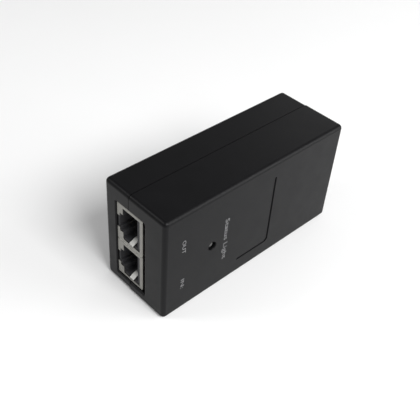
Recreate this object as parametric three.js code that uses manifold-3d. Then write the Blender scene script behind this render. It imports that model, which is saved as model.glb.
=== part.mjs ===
// Power-over-Ethernet injector: a two-part moulded case with two shielded network
// jacks at one end, a mains inlet at the other and a small power supply between them.
//
// Millimetres. +Z is up. The case stands on one long narrow side: X is its thickness
// (the printed face is at +X, the rating label at -X), Y is its length (the jacks are
// at -Y, the inlet at +Y) and Z is its width. The origin is the middle of the side it
// stands on.

import * as THREE from 'three';
import { mergeVertices } from 'three/addons/utils/BufferGeometryUtils.js';
import { ConvexGeometry } from 'three/addons/geometries/ConvexGeometry.js';
import { RoundedBoxGeometry } from 'three/addons/geometries/RoundedBoxGeometry.js';
import Module from 'manifold-3d';

const wasm = await Module();
wasm.setup();

// ---------------------------------------------------------------- driving sizes

// Case
const LENGTH = 85;
const WIDTH = 43;
const THICKNESS = 30;
const WALL = 2;
const EDGE_RADIUS = 1.6;
const BASE_HEIGHT = 12.4;
const SEAM_GAP = 0.3;
const COVER_STEP = 0.15;
const TONGUE_HEIGHT = 1.4;
const TONGUE_GAP = 0.1;
const OVERCUT = 1;

// Fits shared by pieces that seat on or in each other
const SEAT_GAP = 0.1;
const SLIDE_GAP = 0.05;

// Board and the screws that clamp it
const STANDOFF_HEIGHT = 2;
const BOARD_THICKNESS = 1.6;
const BOARD_EDGE_GAP = 0.4;
const SHEET_THICKNESS = 0.4;
const SCREW_RADIUS = 1.45;
const SCREW_HOLE_GAP = 0.15;
const SCREW_LENGTH = 12;
const SCREW_HEAD_RADIUS = 2.7;
const SCREW_HEAD_HEIGHT = 1.7;
const SCREW_CROWN_SHARE = 0.8;
const SCREW_RECESS_HALF_WIDTH = 0.4;
const SCREW_RECESS_REACH = 1.6;
const SCREW_RECESS_DEPTH = 1;
const COUNTERBORE_DEPTH = 2.1;
const BOSS_WALL = 1.2;
const SCREW_WALL_GAP = 0.2;
const SCREW_BEHIND_JACKS = 3.9;
const SCREW_FROM_INLET_END = 6.5;

// Network jacks
const JACK_WIDTH = 15.9;
const JACK_GAP = 0.1;
const JACK_HEIGHT = 12.75;
const JACK_DEPTH = 18;
const JACK_RECESS = 0.6;
const JACK_ABOVE_BOARD = 0.2;
const JACK_BLOCK_OFFSET = -1.2;
const SHIELD_SHEET = 0.3;
const SHIELD_TOP_STRIP = 1.35;
const SHIELD_SIDE_STRIP = 1.25;
const SHIELD_CORNER_HEIGHT = 2.9;
const LATCH_LIP_HEIGHT = 1.2;
const LATCH_STEP_WIDTH = 7.7;
const LATCH_LIP_WIDTH = 5;
const OPENING_GAP = 0.25;
const JACK_FACE_ROOM = 1.3;
const OPENING_ROUND = 0.8;
const OPENING_STEPS = 3;

// Plug cavity and its contacts, inside each jack
const CAVITY_WIDTH = 12;
const CAVITY_HEIGHT = 6.9;
const CAVITY_FLOOR = 3;
const CAVITY_DEPTH = 15.9;
const LATCH_INSET = 0.4;
const LATCH_FLOOR = 0.8;
const CONTACT_COUNT = 8;
const CONTACT_PITCH = 1.02;
const CONTACT_WIDTH = 0.36;
const CONTACT_THICKNESS = 0.3;
const CONTACT_ROOT_DEPTH = 2.1;
const CONTACT_LENGTH = 11.6;
const CONTACT_DROP = 2.9;
const CONTACT_KNEE_PLACE = 0.82;
const CONTACT_TIP_RISE = 0.4;
const CONTACT_BAY_HEIGHT = 1.3;
const CONTACT_BAY_GAP = 0.45;
const COMB_DEPTH = 2.2;
const COMB_RIB = 0.26;
const CARRIER_THICKNESS = 0.5;
const CARRIER_LIP = 0.55;
const PIN_SIZE = 0.4;
const PIN_BELOW_BOARD = 0.8;
const PIN_HOLE_GAP = 0.15;

// Grounding fingers and board tabs of each shield
const FINGER_WIDTH = 2.2;
const FINGER_FLOOR = 5.7;
const FINGER_LENGTH = 5.6;
const FINGER_BEND_PLACE = 0.55;
const FINGER_BEND = 1.5;
const FINGER_POCKET_GAP = 0.3;
const TAB_DEPTH = 9;
const TAB_WIDTH = 1.6;

// Indicator light
const LED_RADIUS = 1.5;
const LED_BEHIND_JACKS = 2.5;
const LED_HOLE_GAP = 0.15;
const LED_BELOW_FACE = 0.7;
const LED_FLANGE_RADIUS = 1.9;
const LED_FLANGE_HEIGHT = 0.8;
const LED_BODY_HEIGHT = 4;
const LED_LEAD_SIZE = 0.5;
const LED_LEAD_PITCH = 1.9;
const SPACER_RADIUS = 2.3;

// Groove moulded into the printed face
const GROOVE_WIDTH = 0.8;
const GROOVE_DEPTH = 0.4;
const GROOVE_CROSS_Y = 7.2;
const GROOVE_TOP_INSET = 6.7;
const GROOVE_BOTTOM_INSET = 6.9;
const GROOVE_RUN = 15.4;
const GROOVE_CORNER = 1.1;

// Rating label in its shallow pocket on the back
const LABEL_LENGTH = 62;
const LABEL_WIDTH = 24;
const LABEL_THICKNESS = 0.15;
const LABEL_POCKET_DEPTH = 0.25;
const LABEL_GAP = 0.3;

// Mains inlet
const INLET_WIDTH = 27;
const INLET_HEIGHT = 19.6;
const INLET_DEPTH = 20;
const INLET_RECESS = 0.3;
const INLET_FLANGE = 1.2;
const INLET_SOCKET_WIDTH = 24;
const INLET_SOCKET_HEIGHT = 16.4;
const INLET_SOCKET_DEPTH = 15.5;
const INLET_SOCKET_CHAMFER = 4.5;
const INLET_PIN_HEIGHT = 4;
const INLET_PIN_WIDTH = 2;
const INLET_PIN_PITCH = 7;
const INLET_PIN_STAGGER = 2;
const INLET_PIN_SUNK = 2.2;
const INLET_TAIL = 1.2;

// Power supply pieces on the board
const PART_GAP = 0.6;
const PART_FOOT = 0.2;
const X_CAPACITOR = { length: 13, thick: 5.4, height: 11 };
const CHOKE = { outer: 6.4, inner: 2.6, thick: 5.4, rise: 0.4 };
const FUSE = { radius: 1.7, length: 8, height: 2.4 };
const BRIDGE = { width: 6.4, length: 6, height: 2.6 };
const BULK_CAPACITOR = { radius: 6, height: 19 };
const CORE = { length: 13.6, width: 19, height: 15.6, leg: 4.2 };
const BOBBIN = { flange: 0.9, grip: 0.4, winding: 2.9 };
const HEAT_SINK = { thick: 1.5, width: 13.6, height: 17 };
const TRANSISTOR = { width: 10, thick: 4.4, height: 9.2, tab: 6, lead: 3.4 };
const OUTPUT_CAPACITOR = { radius: 4, height: 12.5, spread: 8.6 };
const DIODE = { radius: 2.4, length: 9, lead: 0.6 };
const Y_CAPACITOR = { radius: 3.8, thick: 3.6 };
const OPTOCOUPLER = { length: 4.6, width: 5.4, height: 3.4 };
const CONTROLLER = { length: 3.8, width: 5, height: 1.5 };

// Roundness of turned shapes
const ROUND_SIDES = 24;
const SMALL_SIDES = 14;
const CORNER_SEGMENTS = 4;

// ---------------------------------------------------------------- derived places

const BACK_X = -THICKNESS / 2;
const FACE_X = THICKNESS / 2;
const JACK_END_Y = -LENGTH / 2;
const INLET_END_Y = LENGTH / 2;
const MIDDLE_Z = WIDTH / 2;
const FLOOR_X = BACK_X + WALL;
const ROOF_X = FACE_X - WALL;
const SEAM_X = BACK_X + BASE_HEIGHT;
const BOARD_LOW_X = FLOOR_X + STANDOFF_HEIGHT;
const BOARD_TOP_X = BOARD_LOW_X + BOARD_THICKNESS;
const JACK_FRONT_Y = JACK_END_Y + JACK_RECESS;
const JACK_BACK_Y = JACK_FRONT_Y + JACK_DEPTH;
const JACK_LOW_X = BOARD_TOP_X + JACK_ABOVE_BOARD;
const JACK_PITCH = JACK_WIDTH + JACK_GAP;
const JACK_BLOCK_Z = MIDDLE_Z + JACK_BLOCK_OFFSET;
const INLET_FRONT_Y = INLET_END_Y - INLET_RECESS;
const INLET_BACK_Y = INLET_FRONT_Y - INLET_DEPTH;
const INLET_X = JACK_LOW_X + INLET_HEIGHT / 2;
const LED_Y = JACK_BACK_Y + LED_BEHIND_JACKS;
const BOARD_END_Y = INLET_END_Y - WALL - SEAT_GAP - INLET_FLANGE - BOARD_EDGE_GAP;
const BOARD_FRONT_Y = JACK_END_Y + WALL + BOARD_EDGE_GAP;
const HEAD_BOSS_RADIUS = SCREW_HEAD_RADIUS + SCREW_HOLE_GAP + BOSS_WALL;
const THREAD_BOSS_RADIUS = SCREW_RADIUS + SCREW_HOLE_GAP + BOSS_WALL;
const SCREW_SIDE_INSET = WALL + SCREW_WALL_GAP + THREAD_BOSS_RADIUS;
const SCREW_PLACES = [
  [JACK_BACK_Y + SCREW_BEHIND_JACKS, SCREW_SIDE_INSET],
  [JACK_BACK_Y + SCREW_BEHIND_JACKS, WIDTH - SCREW_SIDE_INSET],
  [INLET_END_Y - SCREW_FROM_INLET_END, SCREW_SIDE_INSET],
  [INLET_END_Y - SCREW_FROM_INLET_END, WIDTH - SCREW_SIDE_INSET],
];
const SCREW_SEAT_X = BACK_X + COUNTERBORE_DEPTH;

// ---------------------------------------------------------------- solid helpers

const X_AXIS = new THREE.Vector3(1, 0, 0);
const Y_AXIS = new THREE.Vector3(0, 1, 0);
const Z_AXIS = new THREE.Vector3(0, 0, 1);
const PLANES = {
  XY: new THREE.Matrix4().makeBasis(X_AXIS, Y_AXIS, Z_AXIS),
  YZ: new THREE.Matrix4().makeBasis(Y_AXIS, Z_AXIS, X_AXIS),
  ZX: new THREE.Matrix4().makeBasis(Z_AXIS, X_AXIS, Y_AXIS),
};

/** Turns a closed three.js geometry into a solid that can be joined and cut. */
function solidOf(geometry) {
  geometry.deleteAttribute('normal');
  geometry.deleteAttribute('uv');
  const merged = mergeVertices(geometry);
  return new wasm.Manifold(new wasm.Mesh({
    numProp: 3,
    vertProperties: Float32Array.from(merged.attributes.position.array),
    triVerts: Uint32Array.from(merged.index.array),
  }));
}

/** A block between two corners. */
function block(low, high) {
  const size = low.map((value, i) => high[i] - value);
  const middle = low.map((value, i) => (high[i] + value) / 2);
  return solidOf(new THREE.BoxGeometry(...size).translate(...middle));
}

/** A block with all its edges rounded. */
function roundedBlock(low, high, radius) {
  const size = low.map((value, i) => high[i] - value);
  const middle = low.map((value, i) => (high[i] + value) / 2);
  return solidOf(new RoundedBoxGeometry(...size, CORNER_SEGMENTS, radius).translate(...middle));
}

/** A round bar whose axis is "X", "Y" or "Z", from one end to the other. */
function bar(axis, radius, from, to, place, sides = ROUND_SIDES) {
  const geometry = new THREE.CylinderGeometry(radius, radius, to - from, sides);
  const middle = (from + to) / 2;
  if (axis === 'X') {
    geometry.rotateZ(-Math.PI / 2).translate(middle, place[0], place[1]);
  } else if (axis === 'Y') {
    geometry.translate(place[0], middle, place[1]);
  } else {
    geometry.rotateX(Math.PI / 2).translate(place[0], place[1], middle);
  }
  return solidOf(geometry);
}

/** A flat outline in one plane, pushed along the third axis. */
function prism(points, plane, from, to) {
  const shape = new THREE.Shape(points.map(([u, v]) => new THREE.Vector2(u, v)));
  const geometry = new THREE.ExtrudeGeometry(shape, { depth: to - from, bevelEnabled: false });
  geometry.translate(0, 0, from).applyMatrix4(PLANES[plane]);
  return solidOf(geometry);
}

/** A turned shape about the X axis through the origin, from [radius, x] points. */
function turned(points, sides) {
  const profile = points.map(([radius, x]) => new THREE.Vector2(radius, x));
  const geometry = new THREE.LatheGeometry(profile, sides);
  geometry.rotateZ(-Math.PI / 2);
  return solidOf(geometry);
}

/** Joins a list of solids into one. */
function joined(solids) {
  return solids.reduce((whole, piece) => whole.add(piece));
}

/** Cuts every solid of a list out of the first argument. */
function cutBy(body, tools) {
  return tools.reduce((rest, tool) => rest.subtract(tool), body);
}

/** A named mesh with its own material. */
function part(name, solid, look) {
  const { vertProperties, triVerts } = solid.getMesh();
  const geometry = new THREE.BufferGeometry();
  geometry.setAttribute('position', new THREE.BufferAttribute(vertProperties, 3));
  geometry.setIndex(new THREE.BufferAttribute(triVerts, 1));
  geometry.computeVertexNormals();
  const mesh = new THREE.Mesh(geometry, new THREE.MeshStandardMaterial(look));
  mesh.name = name;
  return mesh;
}

const LOOKS = {
  case: { color: 0x262628, roughness: 0.5, metalness: 0 },
  label: { color: 0x3a3a3d, roughness: 0.45, metalness: 0 },
  shield: { color: 0x9a9894, roughness: 0.35, metalness: 1 },
  jack: { color: 0x131314, roughness: 0.45, metalness: 0 },
  gold: { color: 0xc9a04e, roughness: 0.3, metalness: 1 },
  tinned: { color: 0xb9bcc0, roughness: 0.35, metalness: 1 },
  steel: { color: 0x77787a, roughness: 0.4, metalness: 1 },
  board: { color: 0x1f5a35, roughness: 0.55, metalness: 0 },
  paper: { color: 0xd8d2c0, roughness: 0.8, metalness: 0 },
  lens: { color: 0xcfd4cf, roughness: 0.15, metalness: 0 },
  milky: { color: 0xd9d9d4, roughness: 0.6, metalness: 0 },
  ferrite: { color: 0x2c2b2b, roughness: 0.7, metalness: 0 },
  tape: { color: 0xd0a92c, roughness: 0.4, metalness: 0 },
  copper: { color: 0xa85a2a, roughness: 0.35, metalness: 1 },
  aluminium: { color: 0xa9adb1, roughness: 0.4, metalness: 1 },
  sleeve: { color: 0x1c2740, roughness: 0.35, metalness: 0 },
  boxed: { color: 0xc7a21f, roughness: 0.45, metalness: 0 },
  chip: { color: 0x18181a, roughness: 0.5, metalness: 0 },
  ceramic: { color: 0x2a5f9e, roughness: 0.5, metalness: 0 },
};

// ---------------------------------------------------------------- openings in the case

/** Cuts a rectangular mouth through an end wall, its outer edge rounded over. */
function mouth(low, high, endY, inward, round) {
  const [lowX, lowZ] = low;
  const [highX, highZ] = high;
  const reach = inward * (WALL + OVERCUT);
  const ends = [endY - inward * OVERCUT, endY + reach].sort((a, b) => a - b);
  const straight = block([lowX, ends[0], lowZ], [highX, ends[1], highZ]);
  const spread = (depth) => round - Math.sqrt(round ** 2 - (round - depth) ** 2);
  const corners = (depth, y) => {
    const out = spread(Math.max(depth, 0));
    return [lowX - out, highX + out].flatMap((x) => (
      [lowZ - out, highZ + out].map((z) => new THREE.Vector3(x, y, z))
    ));
  };
  const stages = [];
  for (let i = 0; i < OPENING_STEPS; i += 1) {
    const near = (round * i) / OPENING_STEPS;
    const far = (round * (i + 1)) / OPENING_STEPS;
    const nearY = i === 0 ? endY - inward * OVERCUT : endY + inward * near;
    const points = [...corners(near, nearY), ...corners(far, endY + inward * far)];
    if (i === 0) {
      points.push(...corners(near, endY));
    }
    stages.push(solidOf(new ConvexGeometry(points)));
  }
  return joined([straight, ...stages]);
}

/** The mouth for the pair of jacks, with more room towards the face. */
function jackMouth() {
  const half = (JACK_PITCH + JACK_WIDTH) / 2 + OPENING_GAP;
  return mouth(
    [JACK_LOW_X - OPENING_GAP, JACK_BLOCK_Z - half],
    [JACK_LOW_X + JACK_HEIGHT + OPENING_GAP + JACK_FACE_ROOM, JACK_BLOCK_Z + half],
    JACK_END_Y,
    1,
    OPENING_ROUND,
  );
}

/** The mouth for the mains inlet. */
function inletMouth() {
  const halfHeight = INLET_HEIGHT / 2 + OPENING_GAP;
  const halfWidth = INLET_WIDTH / 2 + OPENING_GAP;
  return mouth(
    [INLET_X - halfHeight, MIDDLE_Z - halfWidth],
    [INLET_X + halfHeight, MIDDLE_Z + halfWidth],
    INLET_END_Y,
    -1,
    OPENING_ROUND,
  );
}

// ---------------------------------------------------------------- case

/** A block across the whole case, a given depth in from its sides, between two heights. */
function caseLayer(inset, lowX, highX) {
  return block(
    [lowX, JACK_END_Y + inset, inset],
    [highX, INLET_END_Y - inset, WIDTH - inset],
  );
}

/** The shell towards the rating label: floor, board standoffs, screw seats, tongue. */
function baseShell() {
  const outside = roundedBlock(
    [BACK_X, JACK_END_Y + COVER_STEP, COVER_STEP],
    [FACE_X, INLET_END_Y - COVER_STEP, WIDTH - COVER_STEP],
    EDGE_RADIUS,
  );
  const rim = SEAM_X - SEAM_GAP / 2;
  const tongueInset = (WALL + TONGUE_GAP) / 2;
  const tongue = caseLayer(tongueInset, SEAM_X - WALL, SEAM_X + TONGUE_HEIGHT - TONGUE_GAP);
  const filled = outside.intersect(caseLayer(0, BACK_X - OVERCUT, rim)).add(tongue);
  const hollow = filled.subtract(caseLayer(WALL, FLOOR_X, FACE_X));
  const bosses = SCREW_PLACES.map((place) => (
    bar('X', HEAD_BOSS_RADIUS, BACK_X + WALL / 2, BOARD_LOW_X - SLIDE_GAP, place)
  ));
  const inside = caseLayer(WALL / 2, BACK_X, FACE_X);
  const withBosses = joined([hollow, ...bosses.map((boss) => boss.intersect(inside))]);
  const screwHoles = SCREW_PLACES.flatMap((place) => [
    bar('X', SCREW_HEAD_RADIUS + SCREW_HOLE_GAP, BACK_X - OVERCUT, SCREW_SEAT_X, place),
    bar('X', SCREW_RADIUS + SCREW_HOLE_GAP, SCREW_SEAT_X - OVERCUT, BOARD_TOP_X, place),
  ]);
  const labelPocket = labelSheet(LABEL_GAP, BACK_X - OVERCUT, BACK_X + LABEL_POCKET_DEPTH);
  return cutBy(withBosses, [...screwHoles, labelPocket, jackMouth(), inletMouth()]);
}

/** The label's rectangle with a margin, centred between the two rows of screws. */
function labelSheet(margin, lowX, highX) {
  const halfLength = LABEL_LENGTH / 2 + margin;
  const halfWidth = LABEL_WIDTH / 2 + margin;
  return block(
    [lowX, -halfLength, MIDDLE_Z - halfWidth],
    [highX, halfLength, MIDDLE_Z + halfWidth],
  );
}

/** The L-shaped groove of the printed face: a leg across it and a leg along it. */
function groove() {
  const half = GROOVE_WIDTH / 2;
  const top = WIDTH - GROOVE_TOP_INSET;
  const low = GROOVE_BOTTOM_INSET;
  const end = GROOVE_CROSS_Y - GROOVE_RUN;
  const outline = [
    [GROOVE_CROSS_Y - half, top],
    [GROOVE_CROSS_Y - half, low + half + GROOVE_CORNER],
    [GROOVE_CROSS_Y - half - GROOVE_CORNER, low + half],
    [end, low + half],
    [end, low - half],
    [GROOVE_CROSS_Y + half - GROOVE_CORNER, low - half],
    [GROOVE_CROSS_Y + half, low - half + GROOVE_CORNER],
    [GROOVE_CROSS_Y + half, top],
  ];
  return prism(outline, 'YZ', FACE_X - GROOVE_DEPTH, FACE_X + OVERCUT);
}

/** The room that the inlet takes inside the case, flange and seat gap included. */
function inletRoom() {
  const halfHeight = INLET_HEIGHT / 2 + SEAT_GAP;
  const halfWidth = INLET_WIDTH / 2 + SEAT_GAP;
  const flange = INLET_FLANGE + SEAT_GAP;
  const flangeBack = INLET_END_Y - WALL - SEAT_GAP * 2 - INLET_FLANGE;
  const body = block(
    [INLET_X - halfHeight, INLET_BACK_Y - SEAT_GAP, MIDDLE_Z - halfWidth],
    [INLET_X + halfHeight, INLET_END_Y - WALL, MIDDLE_Z + halfWidth],
  );
  return body.add(block(
    [INLET_X - halfHeight - flange, flangeBack, MIDDLE_Z - halfWidth - flange],
    [INLET_X + halfHeight + flange, INLET_END_Y - WALL, MIDDLE_Z + halfWidth + flange],
  ));
}

/** A screw post of the cover, flattened beside the inlet and tied to the side wall by a rib. */
function coverPost([y, z]) {
  const foot = BOARD_TOP_X + SLIDE_GAP;
  const post = bar('X', THREAD_BOSS_RADIUS, foot, ROOF_X + WALL / 2, [y, z])
    .subtract(inletRoom());
  const wallZ = z < MIDDLE_Z ? WALL / 2 : WIDTH - WALL / 2;
  const rib = block(
    [SEAM_X + TONGUE_HEIGHT + TONGUE_GAP, y - WALL / 4, Math.min(z, wallZ)],
    [ROOF_X + WALL / 2, y + WALL / 4, Math.max(z, wallZ)],
  );
  const pilot = bar(
    'X',
    SCREW_RADIUS + SCREW_HOLE_GAP,
    foot - OVERCUT,
    SCREW_SEAT_X + SCREW_LENGTH + OVERCUT,
    [y, z],
  );
  return { post, rib, pilot };
}

/** The shell with the printed face: roof, screw posts, light hole, groove. */
function topCover() {
  const outside = roundedBlock([BACK_X, JACK_END_Y, 0], [FACE_X, INLET_END_Y, WIDTH], EDGE_RADIUS);
  const filled = outside.intersect(caseLayer(-OVERCUT, SEAM_X + SEAM_GAP / 2, FACE_X + OVERCUT));
  const rebateInset = (WALL - TONGUE_GAP) / 2;
  const rebate = caseLayer(rebateInset, SEAM_X - OVERCUT, SEAM_X + TONGUE_HEIGHT);
  const hollow = cutBy(filled, [caseLayer(WALL, SEAM_X - OVERCUT, ROOF_X), rebate]);
  const posts = SCREW_PLACES.map(coverPost);
  const withPosts = joined([
    hollow,
    ...posts.flatMap(({ post, rib }) => [post, rib]),
  ]);
  const lightHole = bar('X', LED_RADIUS + LED_HOLE_GAP, ROOF_X - OVERCUT, FACE_X + OVERCUT,
    [LED_Y, MIDDLE_Z]);
  return cutBy(withPosts, [
    ...posts.map(({ pilot }) => pilot),
    lightHole,
    groove(),
    jackMouth(),
    inletMouth(),
  ]);
}

/** A pan-head self-tapping screw, its seat at the origin and its shank along +X. */
function caseScrew() {
  const crown = SCREW_HEAD_RADIUS * SCREW_CROWN_SHARE;
  const turnedBody = turned([
    [0, -SCREW_HEAD_HEIGHT],
    [crown, -SCREW_HEAD_HEIGHT],
    [SCREW_HEAD_RADIUS, -SCREW_HEAD_HEIGHT / 2],
    [SCREW_HEAD_RADIUS, 0],
    [SCREW_RADIUS, 0],
    [SCREW_RADIUS, SCREW_LENGTH - SCREW_RADIUS],
    [SCREW_RADIUS / 4, SCREW_LENGTH],
    [0, SCREW_LENGTH],
  ], SMALL_SIDES);
  const half = SCREW_RECESS_HALF_WIDTH;
  const reach = SCREW_RECESS_REACH;
  const above = -SCREW_HEAD_HEIGHT - OVERCUT;
  const floor = SCREW_RECESS_DEPTH - SCREW_HEAD_HEIGHT;
  return cutBy(turnedBody, [
    block([above, -half, -reach], [floor, half, reach]),
    block([above, -reach, -half], [floor, reach, half]),
  ]);
}

/** Both shells, the label and the four screws. */
function caseParts() {
  const group = new THREE.Group();
  group.add(part('base_shell', baseShell(), LOOKS.case));
  group.add(part('top_cover', topCover(), LOOKS.case));
  const labelLow = BACK_X + LABEL_POCKET_DEPTH - LABEL_THICKNESS;
  const label = labelSheet(0, labelLow, BACK_X + LABEL_POCKET_DEPTH);
  group.add(part('rating_label', label, LOOKS.label));
  SCREW_PLACES.forEach(([y, z], i) => {
    const screw = part(`case_screw_${i + 1}`, caseScrew(), LOOKS.steel);
    screw.position.set(SCREW_SEAT_X - SLIDE_GAP, y, z);
    group.add(screw);
  });
  return group;
}

// ---------------------------------------------------------------- network jack
//
// Each jack has its own frame: x is 0 at its underside, y is 0 at its front and z is
// 0 at its middle.

const SHIELD_INSIDE = JACK_WIDTH / 2 - SHIELD_SHEET;
const HOUSING_HALF = SHIELD_INSIDE - SEAT_GAP;
const HOUSING_TOP = JACK_HEIGHT - SHIELD_SHEET - SEAT_GAP;
const HOUSING_FRONT = SHIELD_SHEET + SLIDE_GAP;
const CAVITY_TOP = CAVITY_FLOOR + CAVITY_HEIGHT;
const BAY_TOP = CAVITY_TOP + CONTACT_BAY_HEIGHT;
const BAY_HALF = (CONTACT_PITCH * (CONTACT_COUNT - 1) + CONTACT_WIDTH) / 2 + CONTACT_BAY_GAP;
const CARRIER_LOW = BAY_TOP + CONTACT_BAY_GAP;
const CARRIER_BACK = CAVITY_DEPTH + CARRIER_LIP * 2;
const CONTACT_ROOT_X = CAVITY_TOP + CONTACT_BAY_HEIGHT / 2;
const PIN_LOW = -JACK_ABOVE_BOARD - BOARD_THICKNESS - PIN_BELOW_BOARD;
const contactZ = (i) => (i - (CONTACT_COUNT - 1) / 2) * CONTACT_PITCH;

/** A grounding finger in the y-z plane, folded in from one edge of the shield's mouth. */
function groundingFinger(side) {
  const root = JACK_WIDTH / 2 - SHIELD_SIDE_STRIP;
  const middle = FINGER_LENGTH * FINGER_BEND_PLACE;
  const line = [[0, 0], [SHIELD_SHEET, 0], [middle, -FINGER_BEND], [FINGER_LENGTH, 0]];
  const inner = line.map(([y, dz]) => [y, side * (root + dz)]);
  const outer = line.map(([y, dz]) => [y, side * (root + dz + SHIELD_SHEET)]).reverse();
  const outline = side > 0 ? [...inner, ...outer] : [...outer, ...inner];
  return prism(outline, 'YZ', FINGER_FLOOR, FINGER_FLOOR + FINGER_WIDTH);
}

/** The folded sheet around a jack: front frame, roof, sides, back, fingers, tabs. */
function jackShield() {
  const half = JACK_WIDTH / 2;
  const outside = block([0, 0, -half], [JACK_HEIGHT, JACK_DEPTH, half]);
  const inside = block(
    [-OVERCUT, SHIELD_SHEET, -SHIELD_INSIDE],
    [JACK_HEIGHT - SHIELD_SHEET, JACK_DEPTH - SHIELD_SHEET, SHIELD_INSIDE],
  );
  const frontCut = (low, high, halfWidth) => (
    block([low, -OVERCUT, -halfWidth], [high, SHIELD_SHEET + OVERCUT, halfWidth])
  );
  const sheet = cutBy(outside, [
    inside,
    frontCut(SHIELD_CORNER_HEIGHT, JACK_HEIGHT - SHIELD_TOP_STRIP, half - SHIELD_SIDE_STRIP),
    frontCut(-OVERCUT, SHIELD_CORNER_HEIGHT + SHIELD_SHEET, LATCH_LIP_WIDTH / 2),
    frontCut(LATCH_LIP_HEIGHT, SHIELD_CORNER_HEIGHT + SHIELD_SHEET, LATCH_STEP_WIDTH / 2),
  ]);
  const tabs = [-1, 1].map((side) => {
    const walls = [side * half, side * SHIELD_INSIDE].sort((a, b) => a - b);
    return block(
      [PIN_LOW, TAB_DEPTH - TAB_WIDTH / 2, walls[0]],
      [SHIELD_SHEET, TAB_DEPTH + TAB_WIDTH / 2, walls[1]],
    );
  });
  return joined([sheet, groundingFinger(-1), groundingFinger(1), ...tabs]);
}

/** The plastic body: plug cavity, latch channel, contact bay, comb, finger pockets. */
function jackHousing() {
  const body = block(
    [0, HOUSING_FRONT, -HOUSING_HALF],
    [HOUSING_TOP, CAVITY_DEPTH + CARRIER_LIP * 2 - SEAT_GAP, HOUSING_HALF],
  );
  const plugCut = (low, high, halfWidth) => (
    block([low, -OVERCUT, -halfWidth], [high, CAVITY_DEPTH, halfWidth])
  );
  const bay = block(
    [CAVITY_TOP - OVERCUT, CONTACT_ROOT_DEPTH - CARRIER_LIP - SEAT_GAP * 2, -BAY_HALF],
    [BAY_TOP, CAVITY_DEPTH, BAY_HALF],
  );
  const lipSlot = block(
    [BAY_TOP - OVERCUT, CONTACT_ROOT_DEPTH - CARRIER_LIP - SEAT_GAP * 2, -BAY_HALF],
    [HOUSING_TOP + OVERCUT, CONTACT_ROOT_DEPTH, BAY_HALF],
  );
  const carrierGroove = block(
    [CARRIER_LOW - SEAT_GAP, CONTACT_ROOT_DEPTH - OVERCUT, -BAY_HALF],
    [HOUSING_TOP + OVERCUT, CARRIER_BACK + OVERCUT, BAY_HALF],
  );
  const pocketHalf = JACK_WIDTH / 2 - SHIELD_SIDE_STRIP + SHIELD_SHEET + FINGER_POCKET_GAP / 2;
  const pocket = block(
    [FINGER_FLOOR - FINGER_POCKET_GAP, -OVERCUT, -pocketHalf],
    [FINGER_FLOOR + FINGER_WIDTH + FINGER_POCKET_GAP, FINGER_LENGTH + FINGER_POCKET_GAP, pocketHalf],
  );
  const shell = cutBy(body, [
    plugCut(CAVITY_FLOOR, CAVITY_TOP, CAVITY_WIDTH / 2),
    plugCut(LATCH_FLOOR, CAVITY_FLOOR + OVERCUT, LATCH_LIP_WIDTH / 2 - LATCH_INSET),
    plugCut(CAVITY_FLOOR / 2, CAVITY_FLOOR + OVERCUT, LATCH_STEP_WIDTH / 2 - LATCH_INSET),
    bay,
    lipSlot,
    carrierGroove,
    pocket,
  ]);
  const combLow = CONTACT_ROOT_X - CONTACT_DROP - CONTACT_THICKNESS / 2;
  const ribs = Array.from({ length: CONTACT_COUNT - 1 }, (_, i) => {
    const z = (contactZ(i) + contactZ(i + 1)) / 2;
    return block(
      [combLow, CAVITY_DEPTH - COMB_DEPTH, z - COMB_RIB / 2],
      [BAY_TOP + SLIDE_GAP, CAVITY_DEPTH + SLIDE_GAP, z + COMB_RIB / 2],
    );
  });
  return joined([shell, ...ribs]);
}

/** The strip that holds the tails of the contacts, with their pins through the board. */
function contactCarrier() {
  const half = BAY_HALF - SEAT_GAP;
  const strip = block(
    [CARRIER_LOW, CONTACT_ROOT_DEPTH - CARRIER_LIP - SEAT_GAP, -half],
    [CARRIER_LOW + CARRIER_THICKNESS, CARRIER_BACK, half],
  );
  const lip = block(
    [CONTACT_ROOT_X - CONTACT_THICKNESS, CONTACT_ROOT_DEPTH - CARRIER_LIP - SEAT_GAP, -half],
    [CARRIER_LOW + SLIDE_GAP, CONTACT_ROOT_DEPTH - SEAT_GAP * 2 - CONTACT_THICKNESS / 2, half],
  );
  const back = block(
    [0, CARRIER_BACK, -half],
    [CARRIER_LOW + CARRIER_THICKNESS, CARRIER_BACK + PIN_SIZE, half],
  );
  const pins = Array.from({ length: CONTACT_COUNT }, (_, i) => block(
    [PIN_LOW, CARRIER_BACK, contactZ(i) - PIN_SIZE / 2],
    [SLIDE_GAP, CARRIER_BACK + PIN_SIZE, contactZ(i) + PIN_SIZE / 2],
  ));
  return joined([strip, lip, back, ...pins]);
}

/** A contact's free arm, from its root bend at the origin down to its tip. */
function contactArm() {
  const half = CONTACT_THICKNESS / 2;
  const knee = [-CONTACT_DROP, CONTACT_LENGTH * CONTACT_KNEE_PLACE];
  const tip = [CONTACT_TIP_RISE - CONTACT_DROP, CONTACT_LENGTH];
  const spine = [[0, 0], knee, tip];
  const upper = spine.map(([x, y]) => [x + half, y]);
  const lower = spine.map(([x, y]) => [x - half, y]).reverse();
  const bend = bar('Z', half, -CONTACT_WIDTH / 2, CONTACT_WIDTH / 2, [0, 0], SMALL_SIDES);
  const blade = prism([...lower, ...upper], 'XY', -CONTACT_WIDTH / 2, CONTACT_WIDTH / 2);
  return bend.add(blade);
}

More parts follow.
